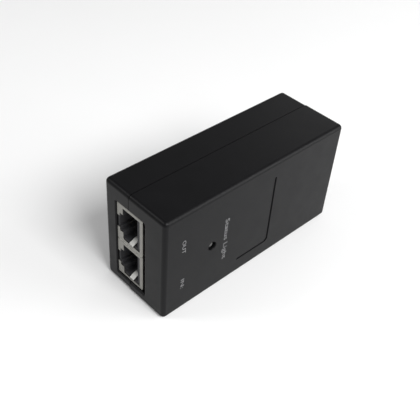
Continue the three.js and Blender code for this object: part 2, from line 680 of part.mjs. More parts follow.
/** One complete jack: housing, shield, carrier and eight contacts. */
function jack(port, middleZ) {
  const group = new THREE.Group();
  group.position.set(JACK_LOW_X, JACK_FRONT_Y, middleZ);
  group.add(part(`${port}_jack_housing`, jackHousing(), LOOKS.jack));
  group.add(part(`${port}_jack_shield`, jackShield(), LOOKS.shield));
  group.add(part(`${port}_contact_carrier`, contactCarrier(), LOOKS.jack));
  for (let i = 0; i < CONTACT_COUNT; i += 1) {
    const arm = part(`${port}_contact_${i + 1}`, contactArm(), LOOKS.gold);
    arm.position.set(CONTACT_ROOT_X, CONTACT_ROOT_DEPTH, contactZ(i));
    group.add(arm);
  }
  return group;
}

/** The middles of the two jacks, upper port first. */
const JACK_MIDDLES = [JACK_BLOCK_Z + JACK_PITCH / 2, JACK_BLOCK_Z - JACK_PITCH / 2];

/** Holes of the board for one jack's pins and tabs. */
function jackBoardHoles(middleZ) {
  const through = (y, z, halfY, halfZ) => block(
    [BOARD_LOW_X - OVERCUT, JACK_FRONT_Y + y - halfY, middleZ + z - halfZ],
    [BOARD_TOP_X + OVERCUT, JACK_FRONT_Y + y + halfY, middleZ + z + halfZ],
  );
  const pinHalf = PIN_SIZE / 2 + PIN_HOLE_GAP;
  const pinHoles = Array.from({ length: CONTACT_COUNT }, (_, i) => (
    through(CARRIER_BACK + PIN_SIZE / 2, contactZ(i), pinHalf, pinHalf)
  ));
  const tabHoles = [-1, 1].map((side) => through(
    TAB_DEPTH,
    side * (JACK_WIDTH - SHIELD_SHEET) / 2,
    TAB_WIDTH / 2 + PIN_HOLE_GAP,
    SHIELD_SHEET / 2 + PIN_HOLE_GAP,
  ));
  return [...pinHoles, ...tabHoles];
}

// ---------------------------------------------------------------- mains inlet

const INLET_PINS = [
  { name: 'line_pin', z: INLET_PIN_PITCH, x: -INLET_PIN_STAGGER },
  { name: 'earth_pin', z: 0, x: INLET_PIN_STAGGER },
  { name: 'neutral_pin', z: -INLET_PIN_PITCH, x: -INLET_PIN_STAGGER },
];

/** The inlet's moulding: socket with two clipped corners, flange, pin slots. */
function inletHousing() {
  const half = [INLET_HEIGHT / 2, INLET_WIDTH / 2];
  const body = block(
    [INLET_X - half[0], INLET_BACK_Y, MIDDLE_Z - half[1]],
    [INLET_X + half[0], INLET_FRONT_Y, MIDDLE_Z + half[1]],
  );
  const flangeFront = INLET_END_Y - WALL - SEAT_GAP;
  const flange = block(
    [INLET_X - half[0] - INLET_FLANGE, flangeFront - INLET_FLANGE, MIDDLE_Z - half[1] - INLET_FLANGE],
    [INLET_X + half[0] + INLET_FLANGE, flangeFront, MIDDLE_Z + half[1] + INLET_FLANGE],
  );
  const [halfX, halfZ] = [INLET_SOCKET_HEIGHT / 2, INLET_SOCKET_WIDTH / 2];
  const clip = INLET_SOCKET_CHAMFER;
  const outline = [
    [-halfZ, -halfX], [halfZ, -halfX], [halfZ, halfX - clip],
    [halfZ - clip, halfX], [clip - halfZ, halfX], [-halfZ, halfX - clip],
  ].map(([z, x]) => [MIDDLE_Z + z, INLET_X + x]);
  const socketFloor = INLET_FRONT_Y - INLET_SOCKET_DEPTH;
  const socket = prism(outline, 'ZX', socketFloor, INLET_FRONT_Y + OVERCUT);
  const slots = INLET_PINS.map(({ x, z }) => block(
    [
      INLET_X + x - INLET_PIN_HEIGHT / 2 - SLIDE_GAP,
      INLET_BACK_Y - OVERCUT,
      MIDDLE_Z + z - INLET_PIN_WIDTH / 2 - SLIDE_GAP,
    ],
    [
      INLET_X + x + INLET_PIN_HEIGHT / 2 + SLIDE_GAP,
      socketFloor + OVERCUT,
      MIDDLE_Z + z + INLET_PIN_WIDTH / 2 + SLIDE_GAP,
    ],
  ));
  return cutBy(body.add(flange), [socket, ...slots]);
}

/** A flat pin whose tail turns down through the board; its middle is at the origin. */
function inletPin(dropToBoard) {
  const front = INLET_FRONT_Y - INLET_PIN_SUNK;
  const halfHeight = INLET_PIN_HEIGHT / 2;
  const lead = INLET_PIN_WIDTH / 4;
  const tip = [[halfHeight, front - lead], [halfHeight - lead, front]];
  const tailBack = INLET_BACK_Y - SEAT_GAP * 2 - INLET_TAIL;
  const outline = [
    [-dropToBoard, tailBack],
    [halfHeight, tailBack],
    ...tip,
    ...tip.map(([x, y]) => [-x, y]).reverse(),
    [-halfHeight, tailBack + INLET_TAIL],
    [-dropToBoard, tailBack + INLET_TAIL],
  ].reverse();
  return prism(outline, 'XY', -INLET_PIN_WIDTH / 2, INLET_PIN_WIDTH / 2);
}

/** The inlet with its three pins. */
function inletParts() {
  const group = new THREE.Group();
  group.add(part('inlet_housing', inletHousing(), LOOKS.jack));
  INLET_PINS.forEach(({ name, x, z }) => {
    const drop = INLET_X + x - (BOARD_LOW_X - PIN_BELOW_BOARD);
    const pin = part(name, inletPin(drop), LOOKS.tinned);
    pin.position.set(INLET_X + x, 0, MIDDLE_Z + z);
    group.add(pin);
  });
  return group;
}

/** Holes of the board for the tails of the inlet's pins. */
function inletBoardHoles() {
  const tailBack = INLET_BACK_Y - SEAT_GAP * 2 - INLET_TAIL;
  const half = INLET_PIN_WIDTH / 2 + PIN_HOLE_GAP;
  return INLET_PINS.map(({ z }) => block(
    [BOARD_LOW_X - OVERCUT, tailBack - PIN_HOLE_GAP, MIDDLE_Z + z - half],
    [BOARD_TOP_X + OVERCUT, tailBack + INLET_TAIL + PIN_HOLE_GAP, MIDDLE_Z + z + half],
  ));
}

// ---------------------------------------------------------------- board and light

/** Places of the light's two leads. */
const LED_LEADS = [-1, 1].map((side) => MIDDLE_Z + (side * LED_LEAD_PITCH) / 2);

/** The circuit board, with holes for the screws, jacks, inlet and light. */
function mainBoard() {
  const side = WALL + BOARD_EDGE_GAP;
  const plate = block(
    [BOARD_LOW_X, BOARD_FRONT_Y, side],
    [BOARD_TOP_X, BOARD_END_Y, WIDTH - side],
  );
  const screwHoles = SCREW_PLACES.map((place) => bar('X', SCREW_RADIUS + SCREW_HOLE_GAP,
    BOARD_LOW_X - OVERCUT, BOARD_TOP_X + OVERCUT, place));
  const leadHalf = LED_LEAD_SIZE / 2 + PIN_HOLE_GAP;
  const leadHoles = LED_LEADS.map((z) => block(
    [BOARD_LOW_X - OVERCUT, LED_Y - leadHalf, z - leadHalf],
    [BOARD_TOP_X + OVERCUT, LED_Y + leadHalf, z + leadHalf],
  ));
  return cutBy(plate, [
    ...screwHoles,
    ...leadHoles,
    ...JACK_MIDDLES.flatMap(jackBoardHoles),
    ...inletBoardHoles(),
  ]);
}

/** The insulating sheet under the board, pierced for the screw seats. */
function insulatingSheet() {
  const side = WALL + BOARD_EDGE_GAP;
  const sheet = block(
    [FLOOR_X + SEAT_GAP, BOARD_FRONT_Y, side],
    [FLOOR_X + SEAT_GAP + SHEET_THICKNESS, BOARD_END_Y, WIDTH - side],
  );
  return cutBy(sheet, SCREW_PLACES.map((place) => bar('X', HEAD_BOSS_RADIUS + SEAT_GAP * 2,
    FLOOR_X - OVERCUT, BOARD_LOW_X, place)));
}

const DOME_STEPS = 4;
const LED_TOP_X = FACE_X - LED_BELOW_FACE;
const LED_BASE_X = LED_TOP_X - LED_BODY_HEIGHT;

/** The light's lens: a flanged bullet along X. */
function ledLens() {
  const domeBase = LED_BODY_HEIGHT - LED_RADIUS;
  const dome = Array.from({ length: DOME_STEPS + 1 }, (_, i) => {
    const angle = (i * Math.PI) / (2 * DOME_STEPS);
    return [LED_RADIUS * Math.cos(angle), domeBase + LED_RADIUS * Math.sin(angle)];
  });
  dome[dome.length - 1][0] = 0;
  return turned([
    [0, 0],
    [LED_FLANGE_RADIUS, 0],
    [LED_FLANGE_RADIUS, LED_FLANGE_HEIGHT],
    [LED_RADIUS, LED_FLANGE_HEIGHT],
    ...dome,
  ], ROUND_SIDES);
}

/** The spacer that holds the light up to its hole. */
function ledSpacer() {
  const low = BOARD_TOP_X + SLIDE_GAP;
  const high = LED_BASE_X - SLIDE_GAP;
  const post = bar('X', SPACER_RADIUS, low, high, [LED_Y, MIDDLE_Z], SMALL_SIDES);
  const slotHalf = LED_LEAD_SIZE / 2 + PIN_HOLE_GAP;
  const slot = block(
    [low - OVERCUT, LED_Y - slotHalf, LED_LEADS[0] - slotHalf],
    [high + OVERCUT, LED_Y + slotHalf, LED_LEADS[1] + slotHalf],
  );
  return post.subtract(slot);
}

/** The board, its sheet and the indicator light. */
function boardParts() {
  const group = new THREE.Group();
  group.add(part('main_board', mainBoard(), LOOKS.board));
  group.add(part('insulating_sheet', insulatingSheet(), LOOKS.paper));
  const lens = part('indicator_light', ledLens(), LOOKS.lens);
  lens.position.set(LED_BASE_X, LED_Y, MIDDLE_Z);
  group.add(lens);
  group.add(part('light_spacer', ledSpacer(), LOOKS.milky));
  LED_LEADS.forEach((z, i) => {
    const half = LED_LEAD_SIZE / 2;
    const lead = block(
      [BOARD_LOW_X - PIN_BELOW_BOARD, LED_Y - half, z - half],
      [LED_BASE_X - SLIDE_GAP / 2, LED_Y + half, z + half],
    );
    group.add(part(`light_lead_${i + 1}`, lead, LOOKS.tinned));
  });
  return group;
}

// ---------------------------------------------------------------- power supply
//
// The mains side is placed from the inlet's back, the output side from the jacks' back
// and the transformer between the two.

const PART_LOW_X = BOARD_TOP_X + PART_FOOT;
const MAINS_Y = INLET_BACK_Y - SEAT_GAP * 2 - INLET_TAIL - PART_GAP * 2;
const FILTER_Y = MAINS_Y - X_CAPACITOR.thick;
const SWITCH_Y = FILTER_Y - PART_GAP * 2 - TRANSISTOR.thick;
const SINK_Y = SWITCH_Y - SEAT_GAP - HEAT_SINK.thick;
const OUTPUT_Y = JACK_BACK_Y + SCREW_BEHIND_JACKS + THREAD_BOSS_RADIUS + PART_GAP;
const CORE_Z = MIDDLE_Z - PART_GAP * 8 - BOBBIN.grip;
const CORE_Y = (OUTPUT_Y + OUTPUT_CAPACITOR.radius + SINK_Y) / 2 + PART_GAP;

/** Pieces between the inlet and the transformer. */
function mainsSide() {
  const group = new THREE.Group();
  const capacitor = block(
    [PART_LOW_X, FILTER_Y, MIDDLE_Z - X_CAPACITOR.length],
    [PART_LOW_X + X_CAPACITOR.height, MAINS_Y, MIDDLE_Z - PART_GAP],
  );
  group.add(part('suppression_capacitor', capacitor, LOOKS.boxed));

  const chokeX = PART_LOW_X + CHOKE.rise + CHOKE.outer;
  const chokeZ = MIDDLE_Z + PART_GAP + CHOKE.outer;
  const ringPlace = [chokeX, chokeZ];
  const ring = bar('Y', CHOKE.outer, MAINS_Y - CHOKE.thick, MAINS_Y, ringPlace)
    .subtract(bar('Y', CHOKE.inner, MAINS_Y - CHOKE.thick - 1, MAINS_Y + 1, ringPlace));
  group.add(part('line_choke', ring, LOOKS.copper));

  const fuse = bar('Y', FUSE.radius, MAINS_Y - FUSE.length, MAINS_Y,
    [PART_LOW_X + FUSE.height, WALL + PART_GAP * 2 + FUSE.radius], SMALL_SIDES);
  group.add(part('fuse', fuse, LOOKS.milky));

  const bridgeEnd = MAINS_Y - FUSE.length - PART_GAP;
  const bridgeZ = WALL + PART_GAP * 2;
  const bridge = block(
    [PART_LOW_X, bridgeEnd - BRIDGE.length, bridgeZ],
    [PART_LOW_X + BRIDGE.height, bridgeEnd, bridgeZ + BRIDGE.width],
  );
  group.add(part('bridge_rectifier', bridge, LOOKS.chip));

  const bulkPlace = [
    FILTER_Y - PART_GAP * 2 - Y_CAPACITOR.thick - BULK_CAPACITOR.radius,
    WIDTH - WALL - PART_GAP * 2 - BULK_CAPACITOR.radius,
  ];
  const bulk = bar('X', BULK_CAPACITOR.radius, PART_LOW_X, PART_LOW_X + BULK_CAPACITOR.height,
    bulkPlace);
  group.add(part('bulk_capacitor', bulk, LOOKS.sleeve));

  const yPlace = [PART_LOW_X + Y_CAPACITOR.radius, bulkPlace[1]];
  const disc = bar('Y', Y_CAPACITOR.radius, FILTER_Y - PART_GAP - Y_CAPACITOR.thick,
    FILTER_Y - PART_GAP, yPlace);
  group.add(part('safety_capacitor', disc, LOOKS.ceramic));
  return group;
}

/** The switching transistor against its heat sink. */
function switchParts() {
  const group = new THREE.Group();
  const middle = CORE_Z + PART_GAP;
  const sink = block(
    [PART_LOW_X, SINK_Y, middle - HEAT_SINK.width / 2],
    [PART_LOW_X + HEAT_SINK.height, SINK_Y + HEAT_SINK.thick, middle + HEAT_SINK.width / 2],
  );
  group.add(part('switch_heat_sink', sink, LOOKS.aluminium));

  const bodyLow = PART_LOW_X + TRANSISTOR.lead;
  const half = TRANSISTOR.width / 2;
  const moulding = block(
    [bodyLow, SWITCH_Y, middle - half],
    [bodyLow + TRANSISTOR.height, SWITCH_Y + TRANSISTOR.thick, middle + half],
  );
  const tab = block(
    [bodyLow, SWITCH_Y, middle - half],
    [bodyLow + TRANSISTOR.height + TRANSISTOR.tab / 2, SWITCH_Y + HEAT_SINK.thick, middle + half],
  );
  const leads = [-1, 0, 1].map((i) => block(
    [PART_LOW_X, SWITCH_Y + TRANSISTOR.thick / 2, middle + i * half / 2 - PIN_SIZE],
    [bodyLow + SLIDE_GAP, SWITCH_Y + TRANSISTOR.thick / 2 + PIN_SIZE, middle + i * half / 2 + PIN_SIZE],
  ));
  group.add(part('switch_transistor', joined([moulding, tab, ...leads]), LOOKS.chip));
  return group;
}

/** The transformer: a three-legged ferrite core around a wound bobbin. */
function transformerParts() {
  const group = new THREE.Group();
  group.position.set(PART_LOW_X, CORE_Y, CORE_Z);
  const halfWidth = CORE.width / 2;
  const halfLength = CORE.length / 2;
  const coreLow = BOBBIN.flange;
  const coreHigh = coreLow + CORE.height;
  const legDepth = CORE.length / 2;
  const whole = block(
    [coreLow, -legDepth / 2, -halfWidth],
    [coreHigh, legDepth / 2, halfWidth],
  );
  const windowLow = coreLow + CORE.leg / 2;
  const windowHigh = coreHigh - CORE.leg / 2;
  const windows = [-1, 1].map((side) => {
    const edges = [side * CORE.leg / 2, side * (halfWidth - CORE.leg / 2)].sort((a, b) => a - b);
    return block(
      [windowLow, -legDepth, edges[0]],
      [windowHigh, legDepth, edges[1]],
    );
  });
  group.add(part('transformer_core', cutBy(whole, windows), LOOKS.ferrite));

  const windowReach = halfWidth - CORE.leg / 2 - BOBBIN.grip;
  const legHole = block(
    [windowLow - OVERCUT, -legDepth / 2 - SEAT_GAP, -CORE.leg / 2 - SEAT_GAP],
    [windowHigh + OVERCUT, legDepth / 2 + SEAT_GAP, CORE.leg / 2 + SEAT_GAP],
  );
  const flangeAt = (x) => block([x, -halfLength, -windowReach], [x + BOBBIN.flange, halfLength, windowReach]);
  const spoolLow = windowLow + BOBBIN.grip;
  const spoolHigh = windowHigh - BOBBIN.grip;
  const spoolHalf = CORE.leg / 2 + SEAT_GAP + BOBBIN.flange / 2;
  const spoolDepth = legDepth / 2 + SEAT_GAP + BOBBIN.flange / 2;
  const spool = block([spoolLow, -spoolDepth, -spoolHalf], [spoolHigh, spoolDepth, spoolHalf]);
  const bobbin = joined([flangeAt(spoolLow), flangeAt(spoolHigh - BOBBIN.flange), spool])
    .subtract(legHole);
  group.add(part('transformer_bobbin', bobbin, LOOKS.chip));

  const windingLow = spoolLow + BOBBIN.flange + SLIDE_GAP;
  const windingHigh = spoolHigh - BOBBIN.flange - SLIDE_GAP;
  const wound = block(
    [windingLow, -spoolDepth - BOBBIN.winding, -windowReach],
    [windingHigh, spoolDepth + BOBBIN.winding, windowReach],
  );
  const around = block(
    [windingLow - OVERCUT, -spoolDepth - SLIDE_GAP, -spoolHalf - SLIDE_GAP],
    [windingHigh + OVERCUT, spoolDepth + SLIDE_GAP, spoolHalf + SLIDE_GAP],
  );
  group.add(part('transformer_winding', wound.subtract(around), LOOKS.tape));
  return group;
}

/** Pieces between the transformer and the jacks. */
function outputSide() {
  const group = new THREE.Group();
  const capacitorY = OUTPUT_Y;
  [1, -1].forEach((side, i) => {
    const place = [capacitorY, MIDDLE_Z + side * OUTPUT_CAPACITOR.spread];
    const can = bar('X', OUTPUT_CAPACITOR.radius, PART_LOW_X,
      PART_LOW_X + OUTPUT_CAPACITOR.height, place);
    group.add(part(`output_capacitor_${i + 1}`, can, LOOKS.sleeve));
  });

  const diodeY = OUTPUT_Y + OUTPUT_CAPACITOR.radius + PART_GAP / 2 + DIODE.radius;
  const diodeX = PART_LOW_X + DIODE.radius;
  const diodeZ = MIDDLE_Z + CORE.width / 4 + PART_GAP;
  const diode = bar('Z', DIODE.radius, diodeZ, diodeZ + DIODE.length, [diodeX, diodeY], SMALL_SIDES);
  const lead = bar('Z', DIODE.lead, diodeZ - 1, diodeZ + DIODE.length + 1, [diodeX, diodeY],
    SMALL_SIDES);
  group.add(part('output_diode', diode.add(lead), LOOKS.chip));

  const optoZ = MIDDLE_Z + OUTPUT_CAPACITOR.spread + OUTPUT_CAPACITOR.radius + PART_GAP / 2;
  const optocoupler = block(
    [PART_LOW_X, OUTPUT_Y - PART_GAP, optoZ],
    [PART_LOW_X + OPTOCOUPLER.height, OUTPUT_Y - PART_GAP + OPTOCOUPLER.length, optoZ + OPTOCOUPLER.width],
  );
  group.add(part('optocoupler', optocoupler, LOOKS.chip));

  const controllerZ = WALL + PART_GAP * 2;
  const controller = block(
    [PART_LOW_X, OUTPUT_Y, controllerZ],
    [PART_LOW_X + CONTROLLER.height, OUTPUT_Y + CONTROLLER.length, controllerZ + CONTROLLER.width],
  );
  group.add(part('controller_chip', controller, LOOKS.chip));
  return group;
}

// ---------------------------------------------------------------- assembly

const injector = new THREE.Group();
injector.add(caseParts());
injector.add(boardParts());
injector.add(jack('poe', JACK_MIDDLES[0]));
injector.add(jack('lan', JACK_MIDDLES[1]));
injector.add(inletParts());
injector.add(mainsSide());
injector.add(switchParts());
injector.add(transformerParts());
injector.add(outputSide());

export default injector;
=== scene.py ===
"""Looks of a power-over-Ethernet injector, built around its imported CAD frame.

Metres, +Z up. The case stands on a long narrow side: +X comes out of the printed face, -Y is the
end with the network jacks and +Y the end with the mains inlet.
"""

import logging
import math
from dataclasses import dataclass, field
from enum import Enum
from typing import Iterable, Sequence

import bmesh
import bpy
from mathutils import Matrix, Vector


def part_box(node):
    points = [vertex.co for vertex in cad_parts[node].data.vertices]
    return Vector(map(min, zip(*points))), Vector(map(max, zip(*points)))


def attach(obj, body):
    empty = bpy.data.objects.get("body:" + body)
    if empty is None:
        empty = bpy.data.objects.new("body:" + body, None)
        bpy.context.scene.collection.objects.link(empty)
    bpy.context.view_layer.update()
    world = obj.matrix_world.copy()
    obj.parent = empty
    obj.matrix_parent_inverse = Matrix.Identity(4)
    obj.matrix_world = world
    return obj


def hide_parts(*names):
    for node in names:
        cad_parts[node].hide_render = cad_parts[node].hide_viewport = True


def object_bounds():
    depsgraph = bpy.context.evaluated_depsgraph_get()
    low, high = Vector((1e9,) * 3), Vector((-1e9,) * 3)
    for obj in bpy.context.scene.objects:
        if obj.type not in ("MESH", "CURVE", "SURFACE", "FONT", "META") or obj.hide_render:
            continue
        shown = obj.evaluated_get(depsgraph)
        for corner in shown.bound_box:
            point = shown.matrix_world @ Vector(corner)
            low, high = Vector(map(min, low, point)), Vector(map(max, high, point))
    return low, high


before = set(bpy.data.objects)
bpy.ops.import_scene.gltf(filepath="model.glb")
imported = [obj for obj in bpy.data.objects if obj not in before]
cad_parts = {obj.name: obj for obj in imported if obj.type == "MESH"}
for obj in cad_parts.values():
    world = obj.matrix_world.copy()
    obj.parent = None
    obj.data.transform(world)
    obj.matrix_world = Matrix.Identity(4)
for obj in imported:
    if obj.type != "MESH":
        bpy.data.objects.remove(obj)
cad_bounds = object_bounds()

LOG = logging.getLogger("injector")
MM = 0.001
CASE = "case"
Outline = Sequence[tuple[float, float]]
Colour = tuple[float, float, float]

# Finishes: a cloud's size in grains, how far drawn lines are stretched, the range of a noise that
# counts, the range of a rubbed edge's pointiness, its lighter colour, and how far windings wander.
CLOUD_GRAINS = 45
LINE_STRETCH = 40
NOISE_MIDDLE = (0.3, 0.7)
RUBBED_EDGE = (0.52, 0.6)
RUB_GAIN, RUB_LIFT = 3, 0.01
WINDING_WANDER = 0.4

# Meshes: a closed pole's radius, the distance of points that are one, and a corner's least lean.
POLE_RADIUS = 1e-7
SAME_POINT = 1e-6
LEAST_LEAN = 0.3

SCREWS = [f"case_screw_{number}" for number in range(1, 5)]


# ------------------------------------------------------------------ finishes


class Pattern(Enum):
    """What a finish's small relief looks like."""

    GRAIN = "spark-eroded grain of a moulding"
    ROLLED = "fine lines of rolled or drawn metal"
    WOUND = "turns of wire or tape"
    WOVEN = "crossed fibres"


class Axis(Enum):
    """A row axis, as an index."""

    X = 0
    Y = 1
    Z = 2


@dataclass(frozen=True)
class Finish:
    """A procedural finish: colour that varies a little, uneven gloss and a small relief.

    Attributes:
        name: the material's name.
        colour: linear base colour.
        roughness: middle of the roughness range.
        metallic: 1 for bare metal.
        pattern: the kind of relief.
        grain: size of one grain, in metres.
        depth: height of the relief, in metres.
        mottle: how far the colour drifts over the surface, as a share.
        unevenness: how far the roughness drifts, either way.
        along: the axis that lines or turns run along.
        specular: strength of the dielectric reflection.
        transmission: share of light let through.
        coat: strength of a clear coat.
        scuff: how much lighter the rubbed edges are.
    """

    name: str
    colour: Colour
    roughness: float = 0.5
    metallic: float = 0.0
    pattern: Pattern = Pattern.GRAIN
    grain: float = 0.3 * MM
    depth: float = 0.01 * MM
    mottle: float = 0.12
    unevenness: float = 0.06
    along: Axis = Axis.Y
    specular: float = 0.5
    transmission: float = 0.0
    coat: float = 0.0
    scuff: float = 0.0

    def material(self) -> bpy.types.Material:
        """Builds the material once and returns it each later time.

        Returns:
            The Blender material of this finish.
        """
        known = bpy.data.materials.get(self.name)
        if known is not None:
            return known
        material = bpy.data.materials.new(self.name)
        material.use_nodes = True
        tree = material.node_tree
        shader = tree.nodes["Principled BSDF"]
        shader.inputs["Metallic"].default_value = self.metallic
        shader.inputs["Specular IOR Level"].default_value = self.specular
        shader.inputs["Transmission Weight"].default_value = self.transmission
        shader.inputs["Coat Weight"].default_value = self.coat
        place = tree.nodes.new("ShaderNodeTexCoord").outputs["Object"]
        cloud = self._noise(tree, place, self.grain * CLOUD_GRAINS, detail=3.0)
        tree.links.new(self._tint(tree, place, cloud), shader.inputs["Base Color"])
        gloss = self._range(tree, cloud, self.roughness - self.unevenness,
                            self.roughness + self.unevenness)
        tree.links.new(gloss, shader.inputs["Roughness"])
        bump = tree.nodes.new("ShaderNodeBump")
        bump.inputs["Strength"].default_value = 1.0
        bump.inputs["Distance"].default_value = self.depth
        tree.links.new(self._relief(tree, place), bump.inputs["Height"])
        tree.links.new(bump.outputs["Normal"], shader.inputs["Normal"])
        return material

    def _noise(self, tree: bpy.types.NodeTree, place: bpy.types.NodeSocket, size: float,
               detail: float = 2.0, stretch: Axis | None = None) -> bpy.types.NodeSocket:
        """Adds a noise of a given grain size.

        Args:
            tree: the material's tree.
            place: the coordinates it reads.
            size: the size of one blotch, in metres.
            detail: how many finer octaves it has.
            stretch: the axis that the blotches are drawn out along, if any.

        Returns:
            The noise's value socket.
        """
        mapping = tree.nodes.new("ShaderNodeMapping")
        scale = [1 / size] * 3
        if stretch is not None:
            scale[stretch.value] /= LINE_STRETCH
        mapping.inputs["Scale"].default_value = scale
        noise = tree.nodes.new("ShaderNodeTexNoise")
        noise.inputs["Scale"].default_value = 1.0
        noise.inputs["Detail"].default_value = detail
        noise.inputs["Roughness"].default_value = 0.6
        tree.links.new(place, mapping.inputs["Vector"])
        tree.links.new(mapping.outputs["Vector"], noise.inputs["Vector"])
        return noise.outputs["Fac"]

    def _range(self, tree: bpy.types.NodeTree, value: bpy.types.NodeSocket, low: float,
               high: float) -> bpy.types.NodeSocket:
        """Spreads a noise's middle over a range.

        Args:
            tree: the material's tree.
            value: the noise.
            low: what the darkest blotches become.
            high: what the lightest blotches become.

        Returns:
            The spread value's socket.
        """
        spread = tree.nodes.new("ShaderNodeMapRange")
        spread.inputs["From Min"].default_value = NOISE_MIDDLE[0]
        spread.inputs["From Max"].default_value = NOISE_MIDDLE[1]
        spread.inputs["To Min"].default_value = low
        spread.inputs["To Max"].default_value = high
        tree.links.new(value, spread.inputs["Value"])
        return spread.outputs["Result"]

    def _tint(self, tree: bpy.types.NodeTree, place: bpy.types.NodeSocket,
              cloud: bpy.types.NodeSocket) -> bpy.types.NodeSocket:
        """Mixes the colour's darker and lighter sides, and the rubbed edges over them.

        Args:
            tree: the material's tree.
            place: the coordinates; not used.
            cloud: the large blotches.

        Returns:
            The colour's socket.
        """
        mix = tree.nodes.new("ShaderNodeMix")
        mix.data_type = "RGBA"
        dark = tuple(c * (1 - self.mottle) for c in self.colour)
        light = tuple(min(1.0, c * (1 + self.mottle)) for c in self.colour)
        mix.inputs["A"].default_value = (*dark, 1.0)
        mix.inputs["B"].default_value = (*light, 1.0)
        tree.links.new(self._range(tree, cloud, 0.0, 1.0), mix.inputs["Factor"])
        if not self.scuff:
            return mix.outputs["Result"]
        geometry = tree.nodes.new("ShaderNodeNewGeometry")
        edge = self._range(tree, geometry.outputs["Pointiness"], 0.0, self.scuff)
        edge.node.inputs["From Min"].default_value = RUBBED_EDGE[0]
        edge.node.inputs["From Max"].default_value = RUBBED_EDGE[1]
        rubbed = tree.nodes.new("ShaderNodeMix")
        rubbed.data_type = "RGBA"
        tree.links.new(edge, rubbed.inputs["Factor"])
        tree.links.new(mix.outputs["Result"], rubbed.inputs["A"])
        bright = tuple(min(1.0, c * RUB_GAIN + RUB_LIFT) for c in self.colour)
        rubbed.inputs["B"].default_value = (*bright, 1.0)
        return rubbed.outputs["Result"]

    def _relief(self, tree: bpy.types.NodeTree,
                place: bpy.types.NodeSocket) -> bpy.types.NodeSocket:
        """Makes the small relief of the finish's pattern.

        Args:
            tree: the material's tree.
            place: the coordinates it reads.

        Returns:
            The height's socket.
        """
        if self.pattern is Pattern.GRAIN:
            return self._noise(tree, place, self.grain, detail=3.0)
        if self.pattern is Pattern.ROLLED:
            return self._noise(tree, place, self.grain, detail=2.0, stretch=self.along)
        warp = self._bands(tree, place, self.along, WINDING_WANDER)
        if self.pattern is Pattern.WOUND:
            return warp
        cross = tree.nodes.new("ShaderNodeMath")
        cross.operation = "MAXIMUM"
        tree.links.new(warp, cross.inputs[0])
        tree.links.new(self._bands(tree, place, Axis.Z, 0.0), cross.inputs[1])
        return cross.outputs["Value"]

    def _bands(self, tree: bpy.types.NodeTree, place: bpy.types.NodeSocket, along: Axis,
               wander: float) -> bpy.types.NodeSocket:
        """Adds even bands, one to a grain.

        Args:
            tree: the material's tree.
            place: the coordinates it reads.
            along: the axis that the bands follow each other on.
            wander: how far the bands stray.

        Returns:
            The bands' height socket.
        """
        wave = tree.nodes.new("ShaderNodeTexWave")
        wave.wave_type = "BANDS"
        wave.bands_direction = along.name
        wave.inputs["Scale"].default_value = 1 / (self.grain * 2 * math.pi)
        wave.inputs["Distortion"].default_value = wander
        tree.links.new(place, wave.inputs["Vector"])
        return wave.outputs["Fac"]


CASE_BLACK = Finish("case_black", (0.0042, 0.0042, 0.0048), 0.38, grain=0.16 * MM,
                    depth=0.01 * MM, mottle=0.1, unevenness=0.04, specular=0.14)
LABEL_FILM = Finish("label_film", (0.035, 0.036, 0.04), 0.34, grain=0.4 * MM, depth=0.004 * MM)
PRINT_INK = Finish("print_ink", (0.17, 0.17, 0.175), 0.55, grain=0.12 * MM, depth=0.004 * MM,
                   mottle=0.25)
NICKEL = Finish("nickel_sheet", (0.27, 0.265, 0.245), 0.42, 1.0, Pattern.ROLLED, 0.05 * MM,
                0.0015 * MM, along=Axis.Z, unevenness=0.08)
# The fingers' metal: the shield's own sheet with its colour about doubled, a painted highlight for
# the light that falls on the fingers.
FINGER_METAL_PAINTED_HIGHLIGHT = Finish("spring_tin", (0.52, 0.52, 0.5), 0.5, 1.0, Pattern.ROLLED, 0.05 * MM,
                    0.001 * MM, along=Axis.Y)
JACK_BLACK = Finish("jack_black", (0.04, 0.04, 0.043), 0.55, grain=0.1 * MM, depth=0.006 * MM,
                    specular=0.15)
GOLD = Finish("gold_wire", (0.83, 0.6, 0.22), 0.22, 1.0, Pattern.ROLLED, 0.03 * MM, 0.001 * MM)
TIN = Finish("tin_plate", (0.62, 0.62, 0.63), 0.28, 1.0, Pattern.ROLLED, 0.05 * MM, 0.001 * MM)
SCREW_STEEL = Finish("screw_steel", (0.16, 0.16, 0.165), 0.38, 1.0, Pattern.GRAIN, 0.08 * MM,
                     0.003 * MM)
LENS = Finish("clouded_lens", (0.08, 0.08, 0.078), 0.5, grain=0.2 * MM, depth=0.001 * MM,
              transmission=0.1)
NYLON = Finish("natural_nylon", (0.62, 0.61, 0.56), 0.5, grain=0.15 * MM, depth=0.004 * MM)
INLET_BLACK = Finish("inlet_black", (0.009, 0.009, 0.01), 0.36, grain=0.12 * MM, depth=0.006 * MM,
                     scuff=0.2)
BOARD_GREEN = Finish("solder_resist", (0.012, 0.09, 0.035), 0.36, pattern=Pattern.WOVEN,
                     grain=0.35 * MM, depth=0.008 * MM, coat=0.3)
FIBRE = Finish("fibre_sheet", (0.55, 0.5, 0.4), 0.8, pattern=Pattern.WOVEN, grain=0.12 * MM,
               depth=0.01 * MM)
EPOXY = Finish("epoxy_black", (0.014, 0.014, 0.015), 0.48, grain=0.08 * MM, depth=0.006 * MM)
BOX_YELLOW = Finish("boxed_yellow", (0.55, 0.36, 0.02), 0.4, grain=0.12 * MM, depth=0.004 * MM)
SLEEVE = Finish("shrink_sleeve", (0.012, 0.02, 0.07), 0.25, grain=0.5 * MM, depth=0.006 * MM,
                coat=0.3)
CERAMIC = Finish("dipped_ceramic", (0.02, 0.13, 0.38), 0.42, grain=0.2 * MM, depth=0.01 * MM)
COPPER = Finish("enamelled_copper", (0.6, 0.2, 0.06), 0.28, 1.0, Pattern.WOUND, 0.12 * MM,
                0.02 * MM, along=Axis.X, coat=0.5)
